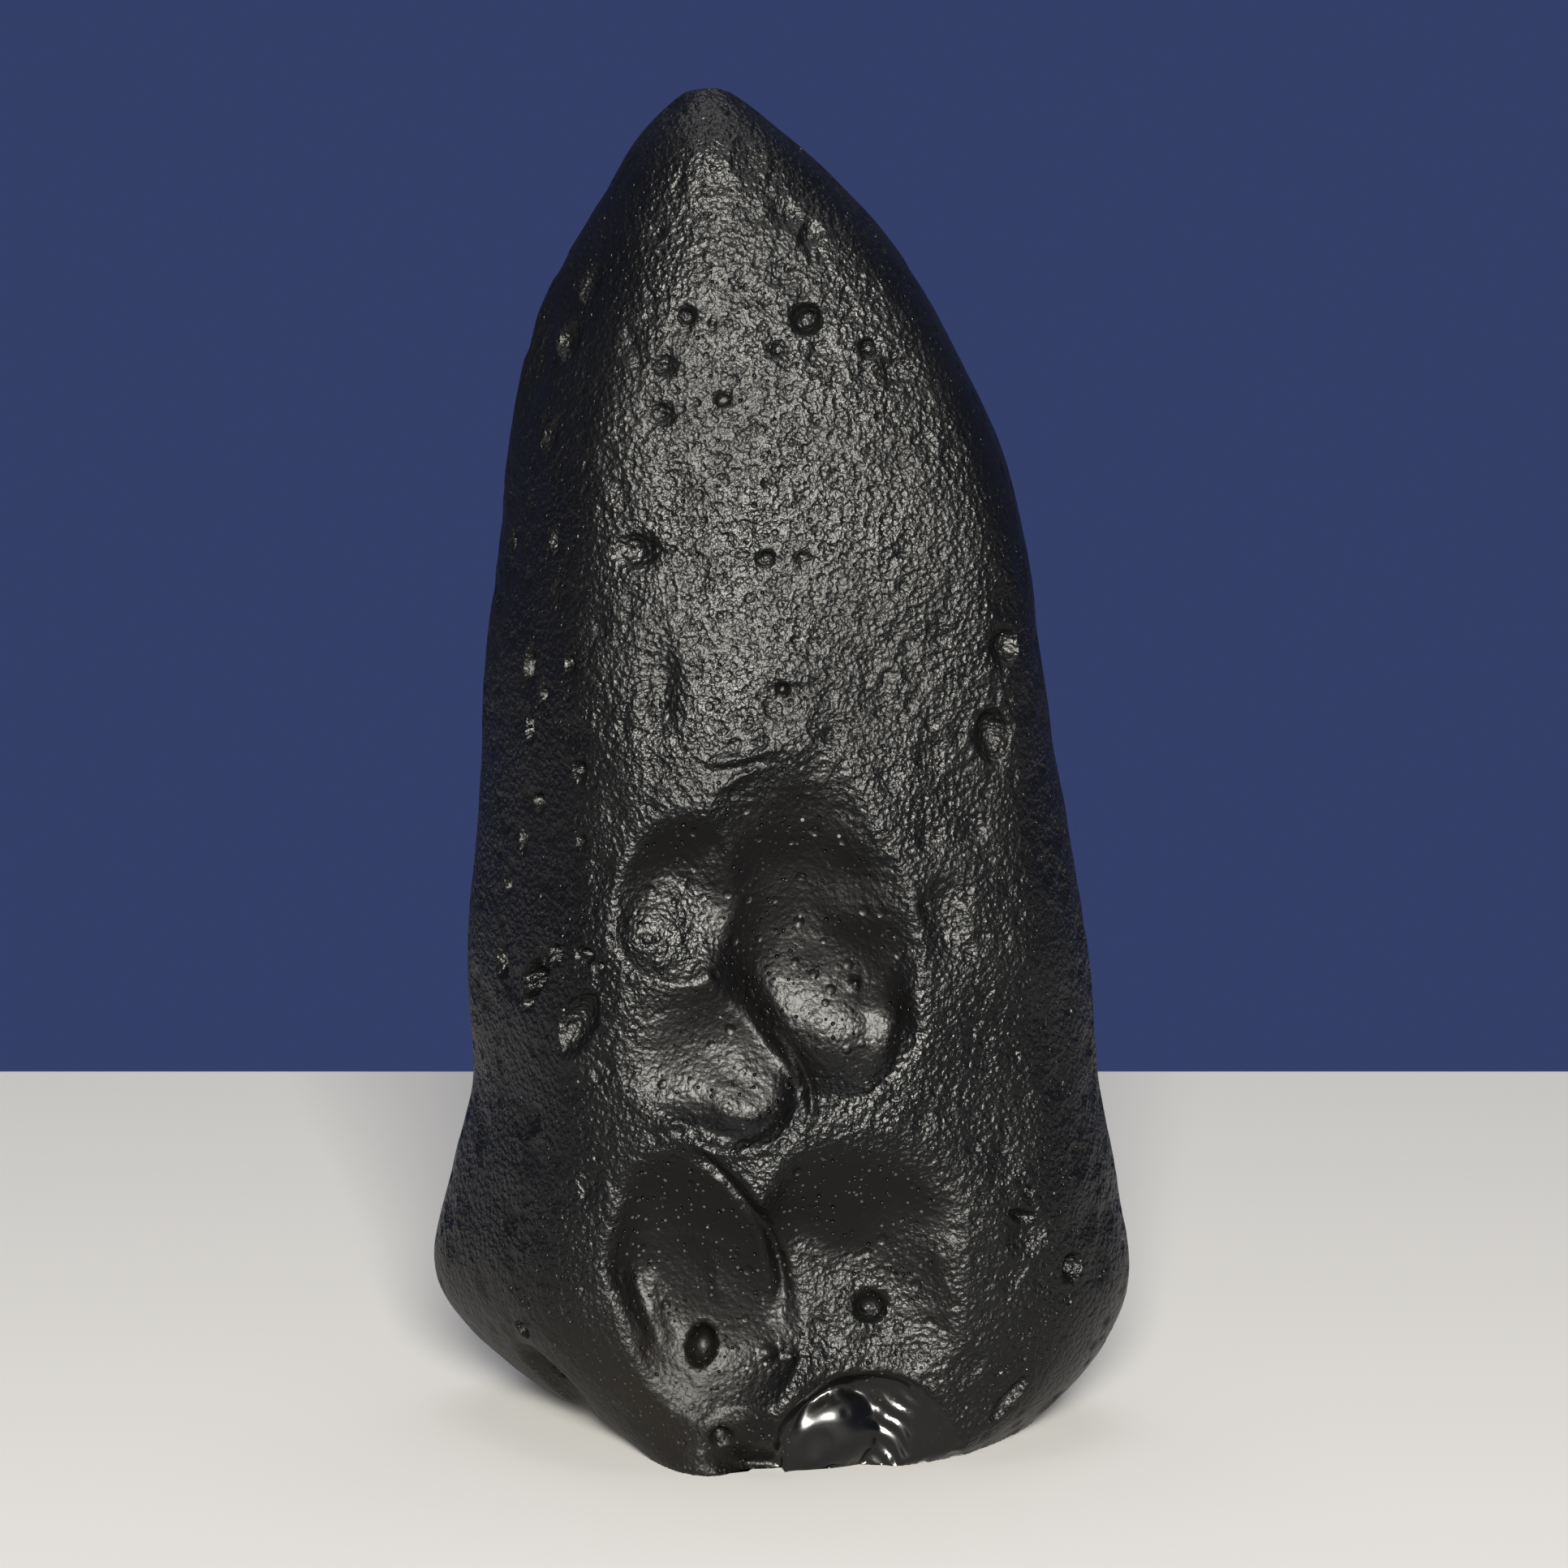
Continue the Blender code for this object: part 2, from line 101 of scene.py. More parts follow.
# Hollows of each side: the middle across and up, the deepest place from there, the depth and
# how much the floor below that place rises for each mm. Then how far the rim lies from the
# middle at each hour of a clock face, from twelve on. Last, at twelve, three, six and nine, how
# full the hollow is (2 is a round bowl, 4 a flat floor with a steep wall) and how soft its rim is.
HOLLOWS = {
    "front": (
        (2.0, 30.0, -2.2, -3.1, 3.7, 0.06,
         (9.8, 6.4, 5.2, 5.5, 6.3, 8.8, 8.8, 7.0, 6.4, 6.9, 7.7, 9.6),
         (1.4, 2.2, 3.4, 2.4), (0.0, 0.2, 0.3, 0.4)),
        (-6.2, 32.5, 0.0, -2.0, 1.7, 0.16,
         (4.2, 4.6, 3.6, 3.6, 4.2, 5.0, 5.4, 4.8, 3.6, 2.9, 2.8, 3.4),
         (2.2, 6.0, 5.0, 3.0), (0.3, 0.5, 0.8, 0.8)),
        (-4.0, 23.6, 1.9, -1.6, 2.3, 0.10,
         (5.8, 5.0, 4.7, 5.2, 5.6, 5.4, 4.7, 4.2, 4.9, 5.6, 5.5, 5.5),
         (2.0, 4.0, 5.0, 1.5), (0.0, 0.3, 0.2, 0.6)),
        (-4.6, 11.3, 0.6, -1.6, 2.6, 0.0,
         (6.8, 5.6, 5.1, 5.3, 6.5, 8.4, 8.4, 6.6, 5.2, 5.4, 5.7, 7.2),
         (2.2, 5.4, 3.0, 5.0), (0.0, 0.0, 0.5, 0.9)),
        (5.9, 11.8, -3.9, 0.0, 2.8, 0.27,
         (8.0, 7.6, 5.9, 4.6, 5.0, 7.4, 9.4, 9.2, 8.0, 7.0, 8.2, 8.6),
         (2.0, 2.6, 6.0, 7.0), (0.9, 1.0, 0.5, 0.5)),
        (8.9, 30.3, -0.3, 0.6, 0.55, 0.0,
         (2.8, 2.2, 1.6, 1.5, 1.7, 2.4, 2.8, 2.2, 1.5, 1.4, 1.8, 2.6),
         (2.4, 2.0, 3.0, 2.4), (0.3, 0.8, 1.0, 0.6)),
        (12.8, 20.5, 0.0, 0.0, 0.7, 0.0,
         (8.0, 7.0, 5.4, 4.6, 5.4, 7.0, 8.0, 7.4, 6.4, 6.0, 6.6, 7.6),
         BOWL, (0.8, 0.8, 0.8, 0.8)),
        (-6.6, 42.8, 0.0, 0.0, 0.5, 0.0,
         (3.6, 2.2, 1.4, 1.2, 1.4, 2.4, 3.6, 2.4, 1.4, 1.2, 1.4, 2.4),
         BOWL, (1.0, 1.0, 1.0, 1.0)),
        (4.7, 0.4, 0.0, 1.6, 0.8, 0.0,
         (5.1, 5.1, 5.0, 5.2, 5.0, 6.0, 7.0, 6.4, 5.8, 5.4, 5.6, 5.4),
         (8.0, 6.0, 6.0, 6.0), (0.0, 0.0, 0.0, 0.0)),
        (-2.4, 2.1, 0.2, -1.5, 1.3, 0.0,
         (2.0, 2.2, 2.5, 2.9, 3.3, 3.0, 2.4, 2.2, 2.2, 2.2, 1.9, 1.9),
         (1.8, 2.2, 4.0, 2.2), (0.0, 0.2, 0.2, 0.2)),
    ),
    "left": (
        (5.5, 43.0, 0.0, 0.0, 1.4, 0.0,
         (8.0, 7.0, 5.2, 4.5, 5.0, 7.0, 8.4, 6.6, 4.8, 4.4, 5.0, 6.6), BOWL, SOFT_RIM),
        (0.0, 60.0, 0.0, 0.0, 0.8, 0.0,
         (3.6, 3.0, 2.2, 2.0, 2.2, 3.0, 3.6, 3.0, 2.2, 2.0, 2.2, 3.0), BOWL, SOFT_RIM),
    ),
    "right": (
        (5.0, 52.0, 0.0, 0.0, 1.3, 0.0,
         (7.6, 6.4, 4.6, 4.0, 4.4, 6.0, 7.4, 6.4, 4.6, 4.0, 4.6, 6.4), BOWL, SOFT_RIM),
        (7.0, 24.0, 0.0, 0.8, 1.9, 0.0,
         (6.2, 5.8, 5.0, 4.4, 4.6, 5.4, 6.0, 5.6, 4.8, 4.4, 4.8, 5.4), BOWL, SOFT_RIM),
    ),
    "back": (
        (-4.0, 47.0, 0.0, 1.2, 2.3, 0.0,
         (7.0, 6.0, 5.0, 4.4, 4.6, 5.8, 7.2, 6.4, 4.8, 4.2, 4.6, 5.8), BOWL, SOFT_RIM),
        (5.6, 33.0, 0.0, 0.8, 2.2, 0.0,
         (5.4, 4.6, 4.2, 4.0, 4.2, 5.0, 5.6, 5.2, 4.4, 4.0, 4.4, 5.0), BOWL, SOFT_RIM),
        (-7.0, 25.0, 0.0, 0.8, 2.4, 0.0,
         (5.8, 5.2, 4.6, 4.2, 4.4, 5.2, 6.0, 5.4, 4.4, 4.0, 4.2, 5.0), BOWL, SOFT_RIM),
        (3.0, 15.0, 0.0, 0.6, 2.5, 0.0,
         (5.2, 5.0, 5.2, 5.6, 5.4, 5.0, 5.0, 5.2, 5.6, 5.4, 5.0, 5.0), BOWL, SOFT_RIM),
        (1.5, 61.0, 0.0, 0.0, 0.9, 0.0,
         (4.0, 3.4, 2.6, 2.4, 2.6, 3.4, 4.0, 3.4, 2.6, 2.4, 2.6, 3.4), BOWL, SOFT_RIM),
    ),
    "under": (
        (-9.0, 0.0, 0.0, 0.0, 2.6, 0.0,
         (4.4, 4.2, 3.6, 3.4, 3.6, 4.2, 4.6, 4.2, 3.6, 3.4, 3.6, 4.2), BOWL, SOFT_RIM),
        (12.4, 4.4, 0.0, 0.0, 2.4, 0.0,
         (4.0, 3.8, 3.6, 3.4, 3.6, 3.8, 4.0, 3.8, 3.6, 3.4, 3.6, 3.8), BOWL, SOFT_RIM),
        (-1.5, 9.6, 0.0, 0.0, 2.0, 0.0,
         (2.2, 3.0, 4.6, 5.4, 4.6, 3.0, 2.2, 3.0, 4.6, 5.4, 4.6, 3.0), BOWL, SOFT_RIM),
        (-12.6, -4.6, 0.0, 0.0, 1.7, 0.0,
         (2.8, 2.6, 2.4, 2.4, 2.6, 2.8, 2.6, 2.4, 2.4, 2.6, 2.8, 2.8), BOWL, SOFT_RIM),
    ),
}

# Which of the front hollows are satin nearly all over, which only where they face down, and
# which one is the fresh chip at the foot.
SATIN_HOLLOWS = (0, 2, 3, 9)
SHADED_HOLLOWS = (1, 4)
CHIP_HOLLOW = HOLLOWS["front"][8]

# Smaller hollows inside the front hollows, with the same measures.
INNER_HOLLOWS = (
    (5.9, 24.2, 0.0, 0.0, 0.5, 0.0,
     (3.6, 2.4, 1.5, 1.2, 1.4, 2.2, 3.2, 2.6, 1.8, 1.4, 1.7, 2.6), BOWL, SOFT_RIM),
)

# Mounds in the front hollows: across, height, half width, half length, lean, rise.
MOUNDS = (
    (1.0, 23.6, 3.2, 3.0, -15.0, 0.35),
    (-1.8, 21.6, 2.4, 2.2, -35.0, 0.4),
    (3.4, 39.8, 5.0, 4.5, 0.0, 0.3),
)

# Folds of the front: how high, how wide, and the points across and up that each runs through.
FOLDS = (
    (0.28, 0.26, (-4.4, 39.3), (-2.2, 39.6), (0.2, 40.4)),
    (-0.22, 0.22, (-4.2, 38.8), (-2.2, 39.1), (-0.6, 39.6)),
    (0.20, 0.22, (-4.3, 37.3), (-2.6, 38.4), (-1.2, 39.1)),
    (0.15, 0.30, (5.0, 20.9), (6.0, 23.0), (6.4, 25.2)),
    (-0.25, 0.22, (-1.6, 25.2), (0.1, 23.6), (0.9, 21.6), (0.7, 20.0)),
    (0.22, 0.22, (-0.4, 24.3), (1.2, 22.4), (1.5, 20.6), (0.8, 19.1)),
    (0.22, 0.22, (-5.8, 19.2), (-3.6, 18.3), (-1.2, 18.6), (0.3, 19.6)),
    (-0.25, 0.22, (-5.4, 19.8), (-3.4, 18.9), (-1.4, 19.2), (0.1, 20.2)),
    (0.20, 0.20, (-6.9, 19.6), (-5.6, 19.9), (-4.9, 19.6)),
    (-0.60, 0.36, (-5.4, 18.5), (-3.8, 17.5), (-2.2, 15.8), (-1.0, 13.9), (-0.3, 11.7), (0.1, 9.4)),
    (0.22, 0.45, (-8.9, 11.6), (-8.4, 9.4), (-7.3, 7.0)),
    (0.20, 0.40, (-7.5, 11.2), (-7.1, 9.0), (-6.2, 6.8)),
    (0.10, 0.30, (-4.0, 12.4), (-3.7, 10.8), (-3.5, 9.4)),
    (0.06, 0.30, (-5.6, 12.9), (-4.4, 13.0), (-3.2, 12.6), (-1.7, 12.1)),
)

# The fresh chip. Its floor: the y it lies at, the level it has it at, how much it leans, from
# where across its right part turns, and how much. Its bulb: across, up, half length, half width,
# lean, fullness and rise. Its ripples: their centre across and up, the reach of the first, the
# gap and the rise, and from where across they fade in and over what length. The heel worn back
# beside it: from and to across, its top and its depth.
CHIP_FLOOR = (-9.3, 2.0, 0.05, 4.4, 0.17)
CHIP_BULB = (1.9, 1.6, 3.3, 2.3, 25.0, 3.2, 1.3)
CHIP_RIPPLES = (3.0, -1.2, 4.7, 0.8, 0.08, 4.4, 0.8)
CHIP_HEEL = (-5.6, -0.6, 2.4, 2.2)
HEEL_FRONT = (-8.0, 3.0)  # the heel is worn in front of this y, fully from so far in front
CHIP_BACK = -6.0  # the chip reaches no further back than this y

# Pits: across, height, width, length, depth, lean.
PITS = {
    "front": (
        (1.2, 62.8, 1.9, 1.9, 0.9, 0.0),
        (4.5, 61.3, 1.1, 1.1, 0.5, 0.0),
        (0.0, 68.4, 2.1, 2.1, 0.28, 0.0),
        (5.9, 60.0, 2.1, 2.1, 0.28, 0.0),
        (-0.3, 61.2, 1.0, 0.9, 0.3, 0.0),
        (1.4, 67.2, 1.3, 1.9, 0.35, 30.0),
        (-5.2, 63.1, 1.1, 1.1, 0.42, 0.0),
        (-6.4, 60.4, 1.5, 1.4, 0.42, 0.0),
        (-6.6, 57.8, 1.7, 1.4, 0.42, 0.0),
        (-3.3, 58.6, 1.2, 1.0, 0.36, 0.0),
        (-7.9, 50.5, 2.8, 2.2, 0.5, 0.0),
        (-1.0, 50.2, 1.3, 1.1, 0.35, 0.0),
        (1.0, 50.2, 0.9, 0.8, 0.28, 0.0),
        (0.0, 43.3, 0.7, 0.8, 0.9, 0.0),
        (0.9, 43.2, 1.0, 0.9, 0.18, 0.0),
        (2.4, 42.9, 1.1, 1.0, 0.18, 0.0),
        (-1.2, 40.4, 1.0, 0.9, 0.18, 0.0),
        (2.4, 40.7, 1.0, 1.0, 0.18, 0.0),
        (3.8, 26.9, 0.7, 0.7, 0.4, 0.0),
        (-4.5, 7.0, 1.6, 2.3, 1.8, 8.0),
        (4.7, 9.1, 2.0, 1.8, 0.9, 0.0),
        (-0.9, 6.7, 1.2, 1.0, 0.25, 0.0),
        (0.3, 6.6, 1.0, 0.9, 0.25, 0.0),
        (-11.2, 25.0, 2.3, 4.2, 1.0, 25.0),
        (-13.9, 27.1, 0.9, 2.2, 1.3, 45.0),
        (-12.4, 28.4, 1.0, 1.2, 1.2, 30.0),
        (-10.8, 28.7, 1.3, 0.8, 0.9, 15.0),
        (-10.0, 28.1, 0.7, 0.7, 0.6, 0.0),
        (-14.9, 50.1, 0.9, 1.2, 0.7, 0.0),
        (-12.5, 50.7, 0.8, 1.8, 0.45, -8.0),
        (-13.9, 43.9, 1.2, 1.9, 0.95, 12.0),
        (-11.6, 44.3, 0.8, 1.0, 0.45, 0.0),
        (-13.1, 42.3, 0.8, 0.9, 0.6, 0.0),
        (-13.9, 40.5, 1.0, 1.8, 0.8, -10.0),
        (-11.1, 38.6, 1.0, 1.1, 0.6, 0.0),
        (-13.4, 36.4, 1.2, 1.3, 0.85, 20.0),
        (-11.0, 34.8, 0.8, 0.8, 0.4, 0.0),
        (-14.3, 34.2, 0.9, 1.2, 0.6, 0.0),
        (-15.2, 31.5, 0.9, 1.1, 0.7, 0.0),
        (-15.6, 27.5, 1.0, 1.4, 0.6, 0.0),
        (13.3, 12.9, 3.0, 2.6, 0.45, -20.0),
        (13.0, 14.0, 1.9, 0.8, 0.7, 18.0),
        (13.4, 15.3, 0.6, 0.6, 0.6, 0.0),
        (12.4, 3.4, 1.0, 3.4, 0.5, 38.0),
        (-3.4, 2.2, 1.3, 1.2, 0.9, 0.0),
    ),
    "left": (
        (-2.7, 64.4, 1.9, 2.6, 0.5, 0.0),
        (-2.9, 61.3, 2.2, 2.8, 0.6, 0.0),
        (-3.6, 56.0, 1.8, 2.2, 0.4, 0.0),
        (-8.2, 28.7, 0.7, 0.7, 0.8, 0.0),
        (-7.0, 26.3, 1.1, 3.8, 1.8, 41.0),
        (-3.8, 26.9, 1.5, 1.6, 0.4, 0.0),
        (-7.2, 18.9, 1.9, 1.9, 0.35, 0.0),
        (-6.7, 7.0, 1.2, 1.0, 0.9, 0.0),
        (-3.4, 3.8, 1.0, 0.9, 0.6, 0.0),
    ),
    "right": (
        (-6.8, 45.1, 2.0, 2.3, 0.8, 0.0),
        (-7.6, 40.3, 2.2, 3.0, 0.9, 0.0),
        (-6.9, 10.6, 1.7, 1.6, 1.0, 0.0),
    ),
}

# Dimples and pits strewn over the skin: per square mm, least gap, smallest and largest
# reach, depth as a part of reach, seed.
STREWN = {
    "dimples": (0.10, 1.8, 0.45, 1.1, 0.14, 8),
    "small_pits": (0.32, 0.8, 0.2, 0.5, 0.24, 21),
}

# Where the foot is soiled: fully below the first level and left of the third place across, and
# not at all above the second level or right of the fourth place.
SKIRT = (3.0, 11.0, -5.0, -1.0)

FLOOR_ROUNDING = 1.2  # how softly a hollow's floor turns at its deepest place
CREST_ROUNDING = 2.2  # how wide the crest between two hollows is rounded
RIM_WANDER = (0.35, 2.6)  # how far the rims of the hollows wander, and over what length
SWELLS = ((0.08, 4.1, (0, 0, 0)), (0.03, 1.5, (9, 4, 2)))  # height, spacing, shift
FOLD_ENDS = (0.2, 0.15)  # part of a fold that fades at each end, and what is left at the end
PIT_LIP = 0.03  # rise of the lip round a pit, as a part of its depth
FOOT_CUT = 0.08  # what lies lower than this is pressed flat on the table
ROUGH_GRAIN = 0.26  # size of the voxels of the lump before its hollows are pressed in
SKIN_GRAIN = 0.2  # size of the voxels that the skin is rebuilt from
RELAX_ROUNDS = 4
MOST_TRIANGLES = 194000

# ------------------------------------------------------------------ finishes

BLACK_GLASS = (0.0010, 0.0010, 0.0010, 1.0)
SATIN_GLASS = (0.0013, 0.0011, 0.0010, 1.0)
SOIL = (0.0045, 0.0034, 0.0022, 1.0)
# Pale specks, partly dust and partly painted glints, laid mostly over the satin hollows.
POWDER_AND_GLINTS = (0.036, 0.036, 0.035, 1.0)
DUST = (0.12, 0.115, 0.11, 1.0)
ETCH_HEIGHT = 0.09
ETCH_IN_SATIN = 0.22  # what is left of the etching on satin skin
WIDE_CUP_DEPTH = 0.25
TINY_CUP_DEPTH = 0.8
ETCHED_ROUGHNESS = (0.38, 0.45)
SATIN_ROUGHNESS = 0.41
CUP_ROUGHNESS = 0.12
SOILED_ROUGHNESS = 0.55
CHIP_ROUGHNESS = 0.23
ETCHED_SHINE = 0.21
SATIN_SHINE = 0.165
CHIP_SHINE = 0.36
GLASS_IOR = 1.5

# ------------------------------------------------------------------ the set, m

FLOOR_WIDTH = 0.60
FLOOR_FRONT = -0.031
FLOOR_BACK = 0.098
FLOOR_COLOUR = (0.31, 0.303, 0.295, 1.0)
SURROUND_COLOUR = (0.035, 0.05, 0.14, 1.0)
# Lights: place, width, power and colour.
SOFTBOXES = {
    "front_softbox": ((0.02, -0.75, 0.28), 0.22, 32.5, (1.0, 0.98, 0.90)),
    "top_softbox": ((0.0, 0.10, 0.72), 0.5, 2.7, (1.0, 1.0, 1.0)),
}
LIGHT_AIM = (0.0, 0.0, 0.035)
EYE_AIM = (0.0, 0.0, 0.03643)
EYE_DISTANCE = 0.350
EYE_PITCH = 9.0
LENS = 144.69
SENSOR = 36.0


# ------------------------------------------------------------------ body

def slopes(points, knots):
    """Slope of a smooth curve at each inner point, from its two neighbours."""
    steps = np.diff(knots).reshape(-1, 1, 1)
    runs = np.diff(points, axis=0) / steps
    return (runs[:-1] * steps[1:] + runs[1:] * steps[:-1]) / (steps[:-1] + steps[1:])


def hermite(start, end, slope_start, slope_end, length, part):
    """Points of the cubics that leave start and reach end with the given slopes."""
    square = part * part
    cube = square * part
    return (
        start * (2 * cube - 3 * square + 1)
        + slope_start * length * (cube - 2 * square + part)
        + end * (3 * square - 2 * cube)
        + slope_end * length * (cube - square)
    )


def rib_stack():
    """All the ribs as one array, closed to a point at the tip and under the belly."""
    rows = [[(x, y, row[0]) for x, y in row[1:]] for row in RIBS]
    tip = [(TIP[0], TIP[1], HEIGHT)] * len(TURN)
    belly = [UNDERSIDE] * len(TURN)
    return np.array([tip] + rows + [belly])


def mirrored(rib, centre):
    """The rib as it would continue past the pole at centre."""
    past = 2 * centre - rib
    past[:, 2] = rib[:, 2]
    return past


def body_points(along, around):
    """Points of the body: along runs 0 to 1 from tip to belly, around 0 to 1 clockwise."""
    stack = rib_stack()
    steps = np.linalg.norm(np.diff(stack, axis=0), axis=2).mean(axis=1)
    knots = np.concatenate(([0.0], np.cumsum(steps)))
    padded = np.concatenate(([mirrored(stack[1], stack[0])], stack, [mirrored(stack[-2], stack[-1])]))
    padded_knots = np.concatenate(([-steps[0]], knots, [knots[-1] + steps[-1]]))
    tangents = slopes(padded, padded_knots)
    reach = along * knots[-1]
    k = np.minimum(np.searchsorted(knots, reach, side="right") - 1, len(knots) - 2)
    length = (knots[k + 1] - knots[k])[:, None, None]
    part = (reach - knots[k])[:, None, None] / length
    ribs = hermite(stack[k], stack[k + 1], tangents[k], tangents[k + 1], length, part)
    count = len(TURN)
    place = (around % 1.0) * count
    i = place.astype(int) % count
    j = (i + 1) % count
    row = np.arange(len(along))
    turn = np.array(TURN)[:, None]
    turn_i = 0.5 * (ribs[row, j] - ribs[row, i - 1]) * turn[i]
    turn_j = 0.5 * (ribs[row, (j + 1) % count] - ribs[row, i]) * turn[j]
    part = (place - place.astype(int))[:, None]
    return hermite(ribs[row, i], ribs[row, j], turn_i, turn_j, 1.0, part)


def make_body():
    """The whole lump before anything is hollowed out of it."""
    body = bmesh.new()
    bmesh.ops.create_uvsphere(body, u_segments=SEGMENTS, v_segments=RINGS, radius=1.0)
    unit = np.array([vert.co[:] for vert in body.verts])
    along = np.arccos(np.clip(unit[:, 2], -1.0, 1.0)) / math.pi
    around = (-0.5 * math.pi - np.arctan2(unit[:, 1], unit[:, 0])) / math.tau
    for vert, point in zip(body.verts, body_points(along, around)):
        vert.co = Vector(point)
    body.normal_update()
    normals = [vert.normal.copy() for vert in body.verts]
    for vert, normal in zip(body.verts, normals):
        vert.co += normal * LUMP_HEIGHT * noise.noise(vert.co / LUMP_SPACING)
    return body


# ------------------------------------------------------------------ hollows

def around_clock(values, turn):
    """Blend values that are given at even steps of a full turn."""
    values = np.array(values)
    count = len(values)
    place = (turn % 1.0) * count
    i = place.astype(int) % count
    start, end = values[i], values[(i + 1) % count]
    slope_start = 0.5 * (end - values[i - 1])
    slope_end = 0.5 * (values[(i + 2) % count] - start)
    return hermite(start, end, slope_start, slope_end, 1.0, place - np.floor(place))


def rim_reach(row, turn):
    """How far the rim lies from a hollow's deepest place, towards the given turns."""
    right, up, rim = row[2], row[3], row[6]
    clock = np.linspace(0.0, 1.0, 180, endpoint=False)
    reach = around_clock(rim, clock)
    rim_right = reach * np.sin(math.tau * clock) - right
    rim_up = reach * np.cos(math.tau * clock) - up
    bearing = np.arctan2(rim_right, rim_up) / math.tau
    return np.interp(turn, bearing, np.hypot(rim_right, rim_up), period=1.0)


def hollow_share(across, height, row):
    """Share of a hollow's full depth at places given across and up its side."""
    middle, level, right, up, _, _, _, fullness, softness = row
    right = across - middle - right
    up = height - level - up
    turn = np.arctan2(right, up) / math.tau
    out = np.hypot(right, up) / rim_reach(row, turn)
    inside = np.clip(1.0 - out ** around_clock(fullness, turn), 0.0, 1.0)
    return inside ** (1.0 + around_clock(softness, turn))


def hollow_depth(across, height, row):
    """How deep one hollow is at places given across and up its side."""
    _, level, _, up, depth, tilt = row[:6]
    above = height - level - up
    floor = depth + 0.5 * tilt * (above - np.hypot(above, FLOOR_ROUNDING))
    return np.clip(floor, 0.0, None) * hollow_share(across, height, row)


def side_view(side, places):
    """The places seen square on: across, up, and the way that leads into the stone."""
    x, y, z = places.T
    return {
        "front": (x, z, (0, 1, 0)),
        "back": (x, z, (0, -1, 0)),
        "left": (y, z, (1, 0, 0)),
        "right": (y, z, (-1, 0, 0)),
        "under": (x, y, (0, 0, 1)),
    }[side]


def mound_height(across, height, row):
    """How far one mound stands up from the floor of its hollow."""
    middle, level, half_width, half_length, lean, rise = row
    cosine, sine = math.cos(math.radians(lean)), math.sin(math.radians(lean))
    right = (across - middle) * cosine - (height - level) * sine
    up = (across - middle) * sine + (height - level) * cosine
    return rise * np.exp(-((right / half_width) ** 2 + (up / half_length) ** 2))


def deeper(first, second):
    """The deeper of two hollows, with a round crest where they meet."""
    near = np.clip(1.0 - np.abs(first - second) / CREST_ROUNDING, 0.0, 1.0)
    both = np.clip(2.0 * np.minimum(first, second), 0.0, 1.0)
    return np.maximum(first, second) + 0.25 * CREST_ROUNDING * both * near**2


def press_hollows(mesh):
    """Press every hollow straight into its side of the lump."""
    places, normals = mesh_points(mesh)
    wander, spacing = RIM_WANDER
    stray = np.array([noise.noise_vector(Vector(place) / spacing) for place in places]) * wander
    pressed = places.copy()
    for side, rows in HOLLOWS.items():
        across, height, way = side_view(side, places + stray)
        depth = np.zeros(len(places))
        for row in rows:
            depth = deeper(depth, hollow_depth(across, height, row))
        if side == "front":
            inside = np.clip(depth, 0.0, 1.0)
            inner = sum(hollow_depth(across, height, row) for row in INNER_HOLLOWS)
            mounds = sum(mound_height(across, height, row) for row in MOUNDS)
            depth = depth + inside * inner
            depth = depth - inside * mounds
        facing = np.clip((-(normals @ np.array(way)) - 0.05) / 0.3, 0.0, 1.0)
        pressed += np.outer(depth * facing, way)
    pressed[:, 2] = np.clip(pressed[:, 2], 0.0, None)
    store_points(mesh, pressed)


def curve_distance(across, height, points):
    """Distance to the smooth line through the points, and how far along it the nearest lies."""
    knots = np.array(points)
    fine = np.linspace(0.0, len(knots) - 1.0, 8 * len(knots))
    i = np.minimum(fine.astype(int), len(knots) - 2)
    slopes_at = np.gradient(knots, axis=0)
    part = (fine - i)[:, None]
    line = hermite(knots[i], knots[i + 1], slopes_at[i], slopes_at[i + 1], 1.0, part)
    gaps = np.hypot(across[:, None] - line[:, 0], height[:, None] - line[:, 1])
    nearest = gaps.argmin(axis=1)
    return gaps.min(axis=1), nearest / (len(line) - 1.0)


def raise_folds(mesh):
    """Raise or sink the thin folds of the front skin."""
    places, normals = mesh_points(mesh)
    seen = places[:, [0, 2]]
    facing = normals[:, 1] < 0.3
    fading, least = FOLD_ENDS
    for rise, reach, *points in FOLDS:
        low = np.min(points, axis=0) - 3.0 * reach
        high = np.max(points, axis=0) + 3.0 * reach
        near = facing & np.all((seen > low) & (seen < high), axis=1)
        near &= places[:, 1] < 0.0
        gap, along = curve_distance(places[near, 0], places[near, 2], points)
        fade = np.clip(np.minimum(along, 1.0 - along) / fading, least, 1.0)
        places[near, 1] -= rise * fade * np.exp(-((gap / reach) ** 2))
    store_points(mesh, places)


def mark_finishes(mesh):
    """Say where the skin is satin smooth, soiled or freshly broken instead of etched."""
    places, normals = mesh_points(mesh)
    across, height = places[:, 0], places[:, 2]
    front = (normals[:, 1] < 0.35) & (places[:, 1] < 0.0)
    inside = [
        np.clip(3.0 * hollow_share(across, height, row), 0.0, 1.0) for row in HOLLOWS["front"]
    ]
    downward = np.clip((0.22 - normals[:, 2]) / 0.45, 0.0, 1.0)
    smooth = np.max([inside[k] for k in SATIN_HOLLOWS], axis=0) * (0.75 + 0.25 * downward)
    shaded = np.max([inside[k] for k in SHADED_HOLLOWS], axis=0) * downward
    low, high, left, right = SKIRT
    skirt = np.clip((high - height) / (high - low), 0.0, 1.0)
    skirt *= np.clip((right - across) / (right - left), 0.0, 1.0)
    fresh = np.clip(4.0 * hollow_share(across, height, CHIP_HOLLOW), 0.0, 1.0)
    fresh *= places[:, 1] < CHIP_BACK
    store_mask(mesh, "satin", np.maximum(np.maximum(smooth, shaded) * front, 0.6 * skirt))
    store_mask(mesh, "soiled", skirt)
    store_mask(mesh, "fresh", fresh)


